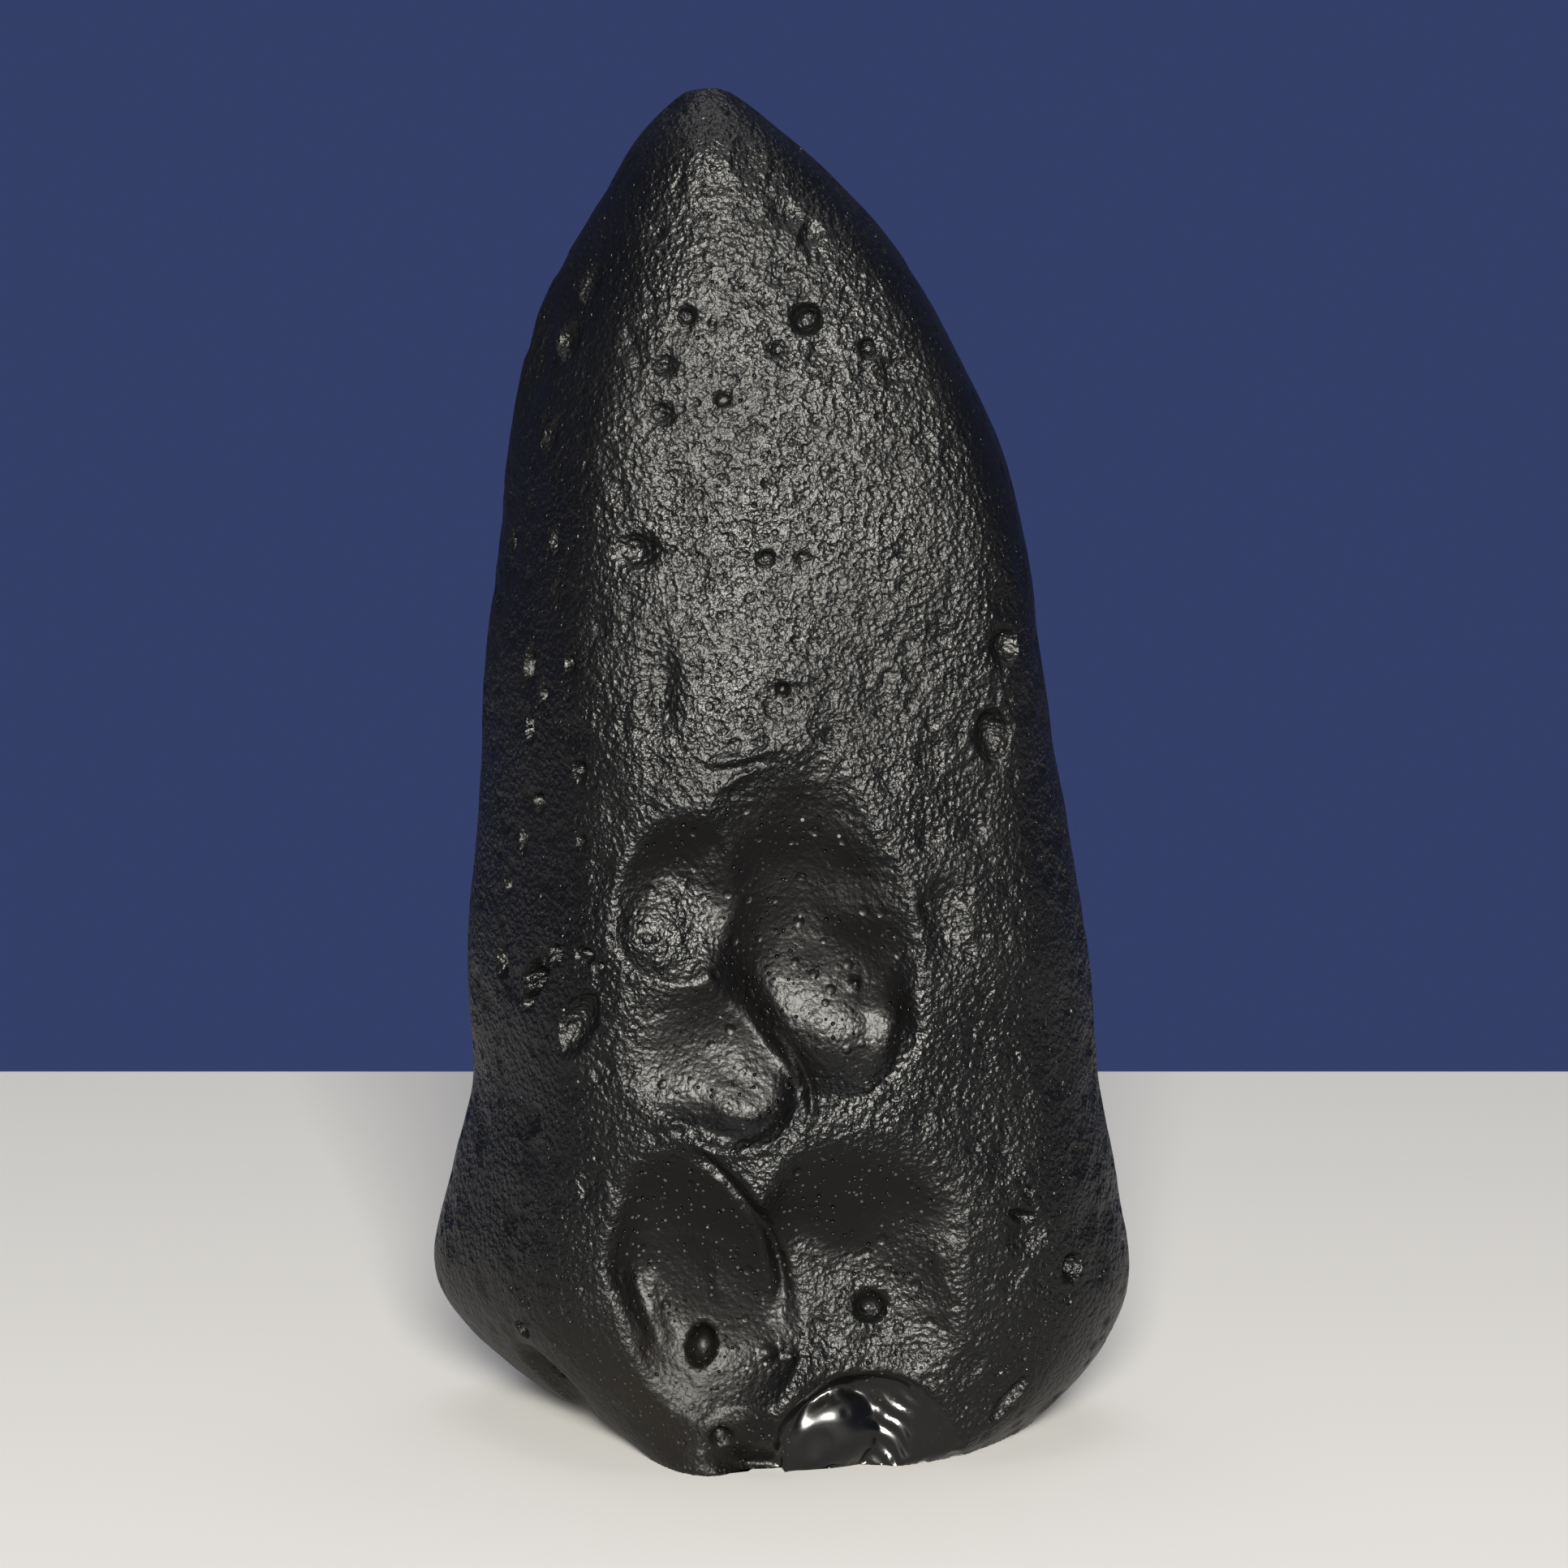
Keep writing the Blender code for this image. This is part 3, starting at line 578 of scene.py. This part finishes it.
def ease(share):
    """A soft step from 0 to 1."""
    share = np.clip(share, 0.0, 1.0)
    return share * share * (3.0 - 2.0 * share)


def chip_bulb(across, height, stray):
    """How far the bulb of the chip stands up from its floor."""
    middle, level, half_length, half_width, lean, fullness, rise = CHIP_BULB
    cosine, sine = math.cos(math.radians(lean)), math.sin(math.radians(lean))
    along = (across - middle) * cosine + (height - level) * sine
    beside = (height - level) * cosine - (across - middle) * sine
    out = np.abs(along / half_length) ** 3 + np.abs(beside / half_width) ** 3
    out = out ** (1.0 / 3.0) + 0.08 * stray
    return rise * np.clip(1.0 - out**fullness, 0.0, 1.0)


def chip_ripples(across, height, stray):
    """Height of the ripples that run out from under the bulb to the right."""
    middle, level, first, gap, rise, start, length = CHIP_RIPPLES
    reach = np.hypot(across - middle, height - level) + 0.5 * stray
    fade = np.clip((across - start) / length, 0.0, 1.0) * (1.0 + 1.5 * stray)
    return rise * fade * np.cos(math.tau * (reach - first) / gap)


def worn_heel(places):
    """How far the foot beside the chip is worn back."""
    first, last, top, depth = CHIP_HEEL
    across, inward, height = places.T
    worn = ease((across - first) / (last - first)) * ease((top - height) / top)
    back, fade = HEEL_FRONT
    worn *= ease((back - inward) / fade) * (across < last + 0.6)
    return depth * worn


def shape_chip(mesh):
    """Flatten the floor of the fresh chip and raise its bulb and its ripples."""
    places, _ = mesh_points(mesh)
    across, height = places[:, 0], places[:, 2]
    inside = hollow_share(across, height, CHIP_HOLLOW) * (places[:, 1] < CHIP_BACK)
    stray = np.array([noise.noise(Vector(place) / 1.6) for place in places])
    inward, level, lean, edge, turn = CHIP_FLOOR
    floor = inward - lean * (height - level) - turn * np.clip(across - edge, 0.0, None)
    floor -= chip_bulb(across, height, stray)
    floor -= chip_ripples(across, height, stray)
    places[:, 1] += inside * np.clip(floor - places[:, 1], 0.0, None)
    places[:, 1] += worn_heel(places) * (1.0 - inside)
    store_points(mesh, places)


def store_mask(mesh, name, values):
    """Keep a share between 0 and 1 for each vertex."""
    layer = mesh.attributes.new(name, "FLOAT", "POINT")
    layer.data.foreach_set("value", np.clip(values, 0.0, 1.0).astype(np.float32))


def skin_tree(mesh):
    """The skin as it is now, ready to be searched."""
    places, _ = mesh_points(mesh)
    faces = [tuple(face.vertices) for face in mesh.polygons]
    return BVHTree.FromPolygons([Vector(place) for place in places], faces)


def rebuild(obj, grain):
    """Rebuild the skin from even voxels of this size, and lay it on the old skin again."""
    old_skin = skin_tree(obj.data)
    remesh = obj.modifiers.new("rebuild", "REMESH")
    remesh.mode = "VOXEL"
    remesh.voxel_size = grain
    settle(obj)
    places, _ = mesh_points(obj.data)
    laid = [old_skin.find_nearest(Vector(place))[0] for place in places]
    store_points(obj.data, np.array(laid))


def soften(mesh, rounds):
    """Relax the skin, so that voxel steps and hard rims go."""
    places, _ = mesh_points(mesh)
    ends = np.empty(2 * len(mesh.edges), dtype=np.int32)
    mesh.edges.foreach_get("vertices", ends)
    ends = ends.reshape(-1, 2)
    both = np.concatenate((ends, ends[:, ::-1]))
    count = np.bincount(both[:, 0], minlength=len(places))[:, None]
    for _ in range(rounds):
        sums = [
            np.bincount(both[:, 0], weights=places[both[:, 1], axis], minlength=len(places))
            for axis in range(3)
        ]
        places += 0.5 * (np.stack(sums, axis=1) / count - places)
    store_points(mesh, places)


def side_ray(side, across, height):
    """Where a line of sight starts, well outside the stone, and which way it runs."""
    far = 60.0
    return {
        "front": (Vector((across, -far, height)), Vector((0, 1, 0))),
        "left": (Vector((-far, across, height)), Vector((1, 0, 0))),
        "right": (Vector((far, across, height)), Vector((-1, 0, 0))),
    }[side]


def skin_place(tree, side, across, height):
    """Point on the skin and the way it faces there."""
    start, way = side_ray(side, across, height)
    point, normal, _, _ = tree.ray_cast(start, way)
    return point, normal


def skin_frame(normal):
    """Axes at a point of the skin: rightward, inward and upward."""
    pole = Vector((0, 0, 1)) if abs(normal.z) < 0.9 else Vector((0, 1, 0))
    rightward = pole.cross(normal).normalized()
    upward = normal.cross(rightward)
    return Matrix((rightward, -normal, upward)).transposed()


def sink_pits(mesh):
    """Press the pits that have a known place into the skin."""
    places, _ = mesh_points(mesh)
    tree = skin_tree(mesh)
    for side, rows in PITS.items():
        for across, height, width, length, depth, lean in rows:
            point, normal = skin_place(tree, side, across, height)
            turn = Matrix.Rotation(math.radians(lean), 3, "Y")
            frame = np.array(skin_frame(normal) @ turn)
            local = (places - np.array(point)) @ frame
            reach = np.hypot(local[:, 0] / (0.5 * width), local[:, 2] / (0.5 * length))
            near = (reach < 1.6) & (np.abs(local[:, 1]) < max(width, depth) * 1.5)
            steepness = np.clip(1.5 - 1.3 * depth / width, 0.45, 1.4)
            bowl = np.clip(1.0 - reach[near] ** 2, 0.0, None) ** steepness
            lip = PIT_LIP * np.exp(-(((reach[near] - 1.1) / 0.2) ** 2))
            places[near] += np.outer(depth * (bowl - lip), frame[:, 1])
    store_points(mesh, places)


def roughen(mesh):
    """Break up the smoothness with low swells of two sizes."""
    places, normals = mesh_points(mesh)
    swell = [
        sum(rise * noise.noise(Vector(place) / spacing + Vector(shift)) for rise, spacing, shift in SWELLS)
        for place in places
    ]
    places += normals * np.array(swell)[:, None]
    store_points(mesh, places)


def level_foot(mesh):
    """Flatten what the stone rests on."""
    places, _ = mesh_points(mesh)
    places[:, 2] = np.where(places[:, 2] < FOOT_CUT, 0.0, places[:, 2])
    store_points(mesh, places)


# ------------------------------------------------------------------ objects

def add_object(name, shape):
    """Link a shape as an object at the origin."""
    mesh = bpy.data.meshes.new(name)
    shape.to_mesh(mesh)
    shape.free()
    obj = bpy.data.objects.new(name, mesh)
    bpy.context.scene.collection.objects.link(obj)
    return obj


def settle(obj):
    """Turn an object and its modifiers into a plain mesh."""
    bpy.context.view_layer.update()
    evaluated = obj.evaluated_get(bpy.context.evaluated_depsgraph_get())
    mesh = bpy.data.meshes.new_from_object(evaluated)
    obj.modifiers.clear()
    obj.data = mesh


def mesh_points(mesh):
    """Vertex places and normals as arrays."""
    count = len(mesh.vertices)
    places = np.empty(count * 3, np.float32)
    mesh.vertices.foreach_get("co", places)
    normals = np.empty(count * 3, np.float32)
    mesh.vertex_normals.foreach_get("vector", normals)
    return places.reshape(-1, 3).astype(float), normals.reshape(-1, 3).astype(float)


def store_points(mesh, places):
    """Put the vertices back."""
    mesh.vertices.foreach_set("co", places.astype(np.float32).ravel())
    mesh.update()


# ------------------------------------------------------------------ strewn pits

def pit_nodes():
    """Geometry nodes that strew round pits over a skin, none nearer than a least gap."""
    tree = bpy.data.node_groups.new("strewn_pits", "GeometryNodeTree")
    sockets = tree.interface
    sockets.new_socket("Geometry", in_out="INPUT", socket_type="NodeSocketGeometry")
    for name in ("Per Square", "Least Gap", "Small Reach", "Large Reach", "Depth Share"):
        sockets.new_socket(name, in_out="INPUT", socket_type="NodeSocketFloat")
    sockets.new_socket("Seed", in_out="INPUT", socket_type="NodeSocketInt")
    sockets.new_socket("Material", in_out="INPUT", socket_type="NodeSocketMaterial")
    sockets.new_socket("Geometry", in_out="OUTPUT", socket_type="NodeSocketGeometry")
    link = tree.links.new
    given = tree.nodes.new("NodeGroupInput")
    strew = tree.nodes.new("GeometryNodeDistributePointsOnFaces")
    strew.distribute_method = "POISSON"
    link(given.outputs["Geometry"], strew.inputs["Mesh"])
    link(given.outputs["Least Gap"], strew.inputs["Distance Min"])
    link(given.outputs["Per Square"], strew.inputs["Density Max"])
    link(given.outputs["Seed"], strew.inputs["Seed"])
    reach = tree.nodes.new("FunctionNodeRandomValue")
    link(given.outputs["Small Reach"], reach.inputs[2])
    link(given.outputs["Large Reach"], reach.inputs[3])
    link(given.outputs["Seed"], reach.inputs["Seed"])
    keep = tree.nodes.new("GeometryNodeStoreNamedAttribute")
    keep.data_type = "FLOAT"
    keep.inputs["Name"].default_value = "reach"
    link(strew.outputs["Points"], keep.inputs["Geometry"])
    link(reach.outputs[1], keep.inputs["Value"])
    nearest = tree.nodes.new("GeometryNodeSampleNearest")
    link(keep.outputs["Geometry"], nearest.inputs["Geometry"])
    place = tree.nodes.new("GeometryNodeInputPosition")
    centre = tree.nodes.new("GeometryNodeSampleIndex")
    centre.data_type = "FLOAT_VECTOR"
    link(keep.outputs["Geometry"], centre.inputs["Geometry"])
    link(place.outputs[0], centre.inputs["Value"])
    link(nearest.outputs["Index"], centre.inputs["Index"])
    width = tree.nodes.new("GeometryNodeSampleIndex")
    width.data_type = "FLOAT"
    named = tree.nodes.new("GeometryNodeInputNamedAttribute")
    named.data_type = "FLOAT"
    named.inputs["Name"].default_value = "reach"
    link(keep.outputs["Geometry"], width.inputs["Geometry"])
    link(named.outputs["Attribute"], width.inputs["Value"])
    link(nearest.outputs["Index"], width.inputs["Index"])
    gap = tree.nodes.new("ShaderNodeVectorMath")
    gap.operation = "DISTANCE"
    link(place.outputs[0], gap.inputs[0])
    link(centre.outputs["Value"], gap.inputs[1])

    def maths(operation, first, second):
        node = tree.nodes.new("ShaderNodeMath")
        node.operation = operation
        for socket, value in zip(node.inputs, (first, second)):
            if isinstance(value, float):
                socket.default_value = value
            else:
                link(value, socket)
        return node.outputs[0]

    share = maths("DIVIDE", gap.outputs["Value"], width.outputs["Value"])
    inside = maths("MAXIMUM", maths("SUBTRACT", 1.0, maths("POWER", share, 2.0)), 0.0)
    bowl = maths("POWER", inside, 0.75)
    depth = maths("MULTIPLY", width.outputs["Value"], given.outputs["Depth Share"])
    satin = tree.nodes.new("GeometryNodeInputNamedAttribute")
    satin.data_type = "FLOAT"
    satin.inputs["Name"].default_value = "satin"
    skin = maths("SUBTRACT", 1.0, satin.outputs["Attribute"])
    sink = maths("MULTIPLY", maths("MULTIPLY", bowl, depth), maths("MULTIPLY", skin, -1.0))
    facing = tree.nodes.new("GeometryNodeInputNormal")
    shift = tree.nodes.new("ShaderNodeVectorMath")
    shift.operation = "SCALE"
    link(facing.outputs[0], shift.inputs[0])
    link(sink, shift.inputs["Scale"])
    move = tree.nodes.new("GeometryNodeSetPosition")
    link(given.outputs["Geometry"], move.inputs["Geometry"])
    link(shift.outputs[0], move.inputs["Offset"])
    solid = tree.nodes.new("GeometryNodeRealizeInstances")
    link(move.outputs["Geometry"], solid.inputs["Geometry"])
    finish = tree.nodes.new("GeometryNodeSetMaterial")
    link(solid.outputs["Geometry"], finish.inputs["Geometry"])
    link(given.outputs["Material"], finish.inputs["Material"])
    result = tree.nodes.new("NodeGroupOutput")
    link(finish.outputs["Geometry"], result.inputs["Geometry"])
    return tree


def strew_pits(lump, material):
    """Put the strewn dimples and pits on as modifiers, coarse ones first."""
    tree = pit_nodes()
    sockets = {
        item.name: item.identifier for item in tree.interface.items_tree if item.in_out == "INPUT"
    }
    for name, (per_square, gap, small, large, share, seed) in STREWN.items():
        layer = lump.modifiers.new(name, "NODES")
        layer.node_group = tree
        layer[sockets["Per Square"]] = per_square
        layer[sockets["Least Gap"]] = gap
        layer[sockets["Small Reach"]] = small
        layer[sockets["Large Reach"]] = large
        layer[sockets["Depth Share"]] = share
        layer[sockets["Seed"]] = seed
        layer[sockets["Material"]] = material


# ------------------------------------------------------------------ material

def shader_group(name, inputs, outputs):
    """A shader node group with named number and vector sockets, and its two end nodes."""
    group = bpy.data.node_groups.new(name, "ShaderNodeTree")
    for label, kind, value in inputs:
        socket = group.interface.new_socket(label, in_out="INPUT", socket_type="NodeSocket" + kind)
        if value is not None:
            socket.default_value = value
    for label, kind in outputs:
        group.interface.new_socket(label, in_out="OUTPUT", socket_type="NodeSocket" + kind)
    return group, group.nodes.new("NodeGroupInput"), group.nodes.new("NodeGroupOutput")


class Bench:
    """Short ways to add nodes to one tree."""

    def __init__(self, tree):
        self.tree = tree

    def plug(self, value, socket):
        """Link a socket to a socket, or set a plain value."""
        if isinstance(value, bpy.types.NodeSocket):
            self.tree.links.new(value, socket)
        else:
            socket.default_value = value

    def node(self, kind, settings=(), **inputs):
        """A node with its settings and its inputs by name, with _ for a space."""
        node = self.tree.nodes.new(kind)
        for name, value in dict(settings).items():
            setattr(node, name, value)
        for name, value in inputs.items():
            self.plug(value, node.inputs[name.replace("_", " ")])
        return node

    def maths(self, operation, first, second=0.0, third=0.0):
        """One arithmetic step."""
        node = self.tree.nodes.new("ShaderNodeMath")
        node.operation = operation
        for value, socket in zip((first, second, third), node.inputs):
            self.plug(value, socket)
        return node.outputs[0]

    def ramp(self, value, low, high, start=0.0, end=1.0):
        """A soft step from start to end as value goes from low to high."""
        node = self.node(
            "ShaderNodeMapRange", {"interpolation_type": "SMOOTHSTEP"},
            Value=value, From_Min=low, From_Max=high, To_Min=start, To_Max=end,
        )
        return node.outputs["Result"]

    def blend(self, share, first, second):
        """A number that goes from first to second."""
        node = self.node("ShaderNodeMix", {"data_type": "FLOAT"})
        for value, index in ((share, 0), (first, 2), (second, 3)):
            self.plug(value, node.inputs[index])
        return node.outputs[0]

    def mix(self, share, first, second):
        """A colour that goes from first to second."""
        node = self.node("ShaderNodeMix", {"data_type": "RGBA"})
        for value, index in ((share, 0), (first, 6), (second, 7)):
            self.plug(value, node.inputs[index])
        return node.outputs[2]

    def vector(self, operation, first, second):
        """One vector step."""
        node = self.tree.nodes.new("ShaderNodeVectorMath")
        node.operation = operation
        self.plug(first, node.inputs[0])
        self.plug(second, node.inputs["Scale"] if operation == "SCALE" else node.inputs[1])
        return node.outputs[0]

    def cells(self, place, per_mm):
        """Distance to the nearest cell centre, in cell sizes, and the cell's own colour."""
        node = self.node("ShaderNodeTexVoronoi", {"feature": "F1"}, Vector=place, Scale=per_mm)
        return node.outputs["Distance"], node.outputs["Color"]

    def cloud(self, place, per_mm, detail=2.0):
        """Soft noise between 0 and 1, and its colour."""
        node = self.node("ShaderNodeTexNoise", Vector=place, Scale=per_mm, Detail=detail)
        return node.outputs[0], node.outputs["Color"]


def etch_group():
    """Height of an etched skin: small cobbles with thin grooves over softer crumpling."""
    group, given, result = shader_group(
        "etched_skin",
        (("Place", "Vector", None), ("Cells Per Mm", "Float", 2.8), ("Wander", "Float", 0.25)),
        (("Height", "Float"),),
    )
    make = Bench(group)
    place = given.outputs["Place"]
    per_mm = given.outputs["Cells Per Mm"]
    stray = make.vector("SUBTRACT", make.cloud(place, per_mm)[1], (0.5, 0.5, 0.5))
    bent = make.vector("ADD", place, make.vector("SCALE", stray, given.outputs["Wander"]))
    cup, _ = make.cells(bent, per_mm)
    crumple, _ = make.cloud(place, make.maths("MULTIPLY", per_mm, 0.6), 2.0)
    fine, _ = make.cloud(place, make.maths("MULTIPLY", per_mm, 2.2), 1.0)
    cobble = make.ramp(cup, 0.70, 0.15)
    height = make.maths("MULTIPLY_ADD", crumple, 1.1, make.maths("MULTIPLY", cobble, -0.55))
    height = make.maths("MULTIPLY_ADD", fine, 0.8, height)
    group.links.new(height, result.inputs["Height"])
    return group


def cup_group():
    """Depth of round etch cups that stand apart from each other."""
    group, given, result = shader_group(
        "etch_cups",
        (
            ("Place", "Vector", None),
            ("Cups Per Mm", "Float", 1.0),
            ("Reach", "Float", 0.3),
            ("Share", "Float", 0.5),
        ),
        (("Depth", "Float"),),
    )
    make = Bench(group)
    gap, colour = make.cells(given.outputs["Place"], given.outputs["Cups Per Mm"])
    split = make.node("ShaderNodeSeparateColor", Color=colour)
    size = make.maths("MULTIPLY_ADD", split.outputs[0], 0.6, 0.4)
    reach = make.maths("MULTIPLY", given.outputs["Reach"], size)
    out = make.maths("POWER", make.maths("DIVIDE", gap, reach), 2.0)
    bowl = make.maths("MAXIMUM", make.maths("SUBTRACT", 1.0, out), 0.0)
    chosen = make.maths("LESS_THAN", split.outputs[1], given.outputs["Share"])
    deep = make.maths("MULTIPLY", make.maths("MULTIPLY", bowl, reach), chosen)
    group.links.new(make.maths("DIVIDE", deep, given.outputs["Cups Per Mm"]), result.inputs["Depth"])
    return group


def dust_and_glint_group():
    """Where pale specks lie, used both for dust and for painted glints: one small round grain in a share
    of the cells.
    """
    group, given, result = shader_group(
        "dust_and_glint_specks",
        (
            ("Place", "Vector", None),
            ("Specks Per Mm", "Float", 1.0),
            ("Grain", "Float", 0.1),
            ("Share", "Float", 0.5),
        ),
        (("Mask", "Float"),),
    )
    make = Bench(group)
    gap, colour = make.cells(given.outputs["Place"], given.outputs["Specks Per Mm"])
    split = make.node("ShaderNodeSeparateColor", Color=colour)
    size = make.maths("MULTIPLY", given.outputs["Grain"], split.outputs[0])
    grain = make.maths("LESS_THAN", gap, size)
    chosen = make.maths("LESS_THAN", split.outputs[1], given.outputs["Share"])
    group.links.new(make.maths("MULTIPLY", grain, chosen), result.inputs["Mask"])
    return group


def place_group(tree, group, **inputs):
    """Put a shader group in a material with its own values."""
    node = tree.nodes.new("ShaderNodeGroup")
    node.node_tree = group
    make = Bench(tree)
    for name, value in inputs.items():
        make.plug(value, node.inputs[name.replace("_", " ")])
    return node


def glass_height(tree, place, satin, fresh):
    """Fine relief of the glass in mm, and the depth of its tiny cups."""
    make = Bench(tree)
    etched = place_group(tree, etch_group(), Place=place, Cells_Per_Mm=2.5, Wander=0.22)
    cups = cup_group()
    wide_cups = place_group(tree, cups, Place=place, Cups_Per_Mm=1.1, Reach=0.40, Share=0.4)
    tiny_cups = place_group(tree, cups, Place=place, Cups_Per_Mm=2.6, Reach=0.34, Share=0.35)
    bare = make.maths("SUBTRACT", 1.0, make.maths("MULTIPLY", satin, 1.0 - ETCH_IN_SATIN))
    skin = make.maths("MULTIPLY", etched.outputs["Height"], make.maths("MULTIPLY", bare, ETCH_HEIGHT))
    wide_depth = make.maths("MULTIPLY", wide_cups.outputs["Depth"], WIDE_CUP_DEPTH)
    pitted = make.maths("MULTIPLY_ADD", tiny_cups.outputs["Depth"], TINY_CUP_DEPTH, wide_depth)
    height = make.maths("SUBTRACT", skin, pitted)
    height = make.maths("MULTIPLY", height, make.maths("SUBTRACT", 1.0, fresh))
    return height, tiny_cups.outputs["Depth"]


def glass_colour(tree, place, satin, soil):
    """Black glass, browner where it is soiled, under many pale specks, partly dust and partly painted
    glints that also paint a grey sheen on the satin hollows, and a few dust specks.
    """
    make = Bench(tree)
    specks = dust_and_glint_group()
    grains = place_group(tree, specks, Place=place, Specks_Per_Mm=1.0, Grain=0.10, Share=0.25)
    # Painted glints: a dense spread of pale specks, partly dust, mostly on the satin hollows, where they
    # also paint a grey sheen over the dark tops.
    powder_and_glints = place_group(tree, specks, Place=place, Specks_Per_Mm=2.8, Grain=0.26, Share=0.8)
    tint = make.mix(satin, BLACK_GLASS, SATIN_GLASS)
    tint = make.mix(soil, tint, SOIL)
    level = make.node("ShaderNodeSeparateXYZ", Vector=place).outputs["Z"]
    # Painted sheen: the pale specks are laid heavier on satin hollows below 20 mm than above 27 mm, so the
    # dark hollow tops low down look greyer.
    low = make.ramp(level, 20.0, 27.0, 0.75, 0.22)
    sheen_and_glint_share = make.maths("MULTIPLY_ADD", satin, low, 0.05)
    tint = make.mix(make.maths("MULTIPLY", powder_and_glints.outputs["Mask"], sheen_and_glint_share), tint, POWDER_AND_GLINTS)
    return make.mix(make.maths("MULTIPLY", grains.outputs["Mask"], 0.7), tint, DUST)


def glass_material():
    """Black glass: a half-matt etched skin, satin hollows, a fresh chip, some dust and painted glints."""
    material = bpy.data.materials.new("tektite_glass")
    material.use_nodes = True
    tree = material.node_tree
    shader = tree.nodes["Principled BSDF"]
    make = Bench(tree)
    place = tree.nodes.new("ShaderNodeTexCoord").outputs["Object"]
    place = make.vector("SCALE", place, 1.0 / MM)
    satin, fresh, soiled = (
        make.node("ShaderNodeAttribute", {"attribute_name": name}).outputs["Fac"]
        for name in ("satin", "fresh", "soiled")
    )
    blotch, _ = make.cloud(place, 0.16, 3.0)
    height, cup_depth = glass_height(tree, place, satin, fresh)
    bump = make.node("ShaderNodeBump", Height=height, Distance=MM, Strength=1.0)
    etched_rough = make.ramp(blotch, 0.35, 0.65, *ETCHED_ROUGHNESS)
    rough = make.blend(satin, etched_rough, SATIN_ROUGHNESS)
    cupped = make.ramp(cup_depth, 0.0, 0.03, 0.0, 0.4)
    rough = make.blend(cupped, rough, CUP_ROUGHNESS)
    rough = make.blend(soiled, rough, SOILED_ROUGHNESS)
    rough = make.blend(fresh, rough, CHIP_ROUGHNESS)
    shine = make.ramp(satin, 0.0, 1.0, ETCHED_SHINE, SATIN_SHINE)
    shine = make.blend(fresh, shine, CHIP_SHINE)
    colour = glass_colour(tree, place, satin, make.maths("MULTIPLY", soiled, blotch))
    tree.links.new(colour, shader.inputs["Base Color"])
    tree.links.new(rough, shader.inputs["Roughness"])
    tree.links.new(shine, shader.inputs["Specular IOR Level"])
    tree.links.new(bump.outputs["Normal"], shader.inputs["Normal"])
    shader.inputs["IOR"].default_value = GLASS_IOR
    return material


# ------------------------------------------------------------------ set

def make_floor():
    """A plain pale floor, no wider than the view needs."""
    shape = bmesh.new()
    spread = Matrix.Diagonal((FLOOR_WIDTH, FLOOR_BACK - FLOOR_FRONT, 1.0, 1.0))
    centre = Matrix.Translation((0.0, 0.5 * (FLOOR_BACK + FLOOR_FRONT), 0.0))
    bmesh.ops.create_grid(shape, x_segments=1, y_segments=1, size=0.5, matrix=centre @ spread)
    floor = add_object("floor", shape)
    paper = bpy.data.materials.new("paper_floor")
    paper.use_nodes = True
    shader = paper.node_tree.nodes["Principled BSDF"]
    shader.inputs["Base Color"].default_value = FLOOR_COLOUR
    shader.inputs["Roughness"].default_value = 0.9
    floor.data.materials.append(paper)


def make_surround():
    """A plain dim surround, shown as it is, with no film curve."""
    world = bpy.data.worlds.new("surround")
    world.use_nodes = True
    world.node_tree.nodes["Background"].inputs["Color"].default_value = SURROUND_COLOUR
    bpy.context.scene.world = world
    bpy.context.scene.view_settings.view_transform = "Standard"


def add_softbox(name, place, width, power, colour):
    """A square area light that faces the middle of the stone."""
    light = bpy.data.lights.new(name, "AREA")
    light.shape = "RECTANGLE"
    light.size = width
    light.size_y = width
    light.energy = power
    light.color = colour
    lamp = bpy.data.objects.new(name, light)
    bpy.context.scene.collection.objects.link(lamp)
    lamp.location = place
    aim = Vector(LIGHT_AIM) - Vector(place)
    lamp.rotation_euler = aim.to_track_quat("-Z", "Y").to_euler()


def camera():
    """A long lens a little above the stone, looking slightly down on it."""
    aim = Vector(EYE_AIM)
    pitch = math.radians(EYE_PITCH)
    data = bpy.data.cameras.new("camera")
    data.sensor_width = SENSOR
    data.lens = LENS
    eye = bpy.data.objects.new("camera", data)
    bpy.context.scene.collection.objects.link(eye)
    eye.location = aim + EYE_DISTANCE * Vector((0.0, -math.cos(pitch), math.sin(pitch)))
    eye.rotation_euler = (aim - eye.location).to_track_quat("-Z", "Y").to_euler()
    bpy.context.scene.camera = eye


def main():
    """Dress the part."""
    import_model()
    camera()
    make_floor()
    make_surround()
    for name, (place, width, power, colour) in SOFTBOXES.items():
        add_softbox(name, place, width, power, colour)
    material = glass_material()
    lump = add_object("tektite_skin", make_body())
    rebuild(lump, ROUGH_GRAIN)
    press_hollows(lump.data)
    rebuild(lump, SKIN_GRAIN)
    soften(lump.data, RELAX_ROUNDS)
    raise_folds(lump.data)
    shape_chip(lump.data)
    sink_pits(lump.data)
    roughen(lump.data)
    level_foot(lump.data)
    mark_finishes(lump.data)
    strew_pits(lump, material)
    thin = lump.modifiers.new("thin", "DECIMATE")
    triangles = sum(len(face.vertices) - 2 for face in lump.data.polygons)
    thin.ratio = min(1.0, MOST_TRIANGLES / triangles)
    settle(lump)
    level_foot(lump.data)
    lump.data.transform(Matrix.Scale(MM, 4))
    lump.data.shade_smooth()
    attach(lump, "root")
    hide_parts("tektite")


main()
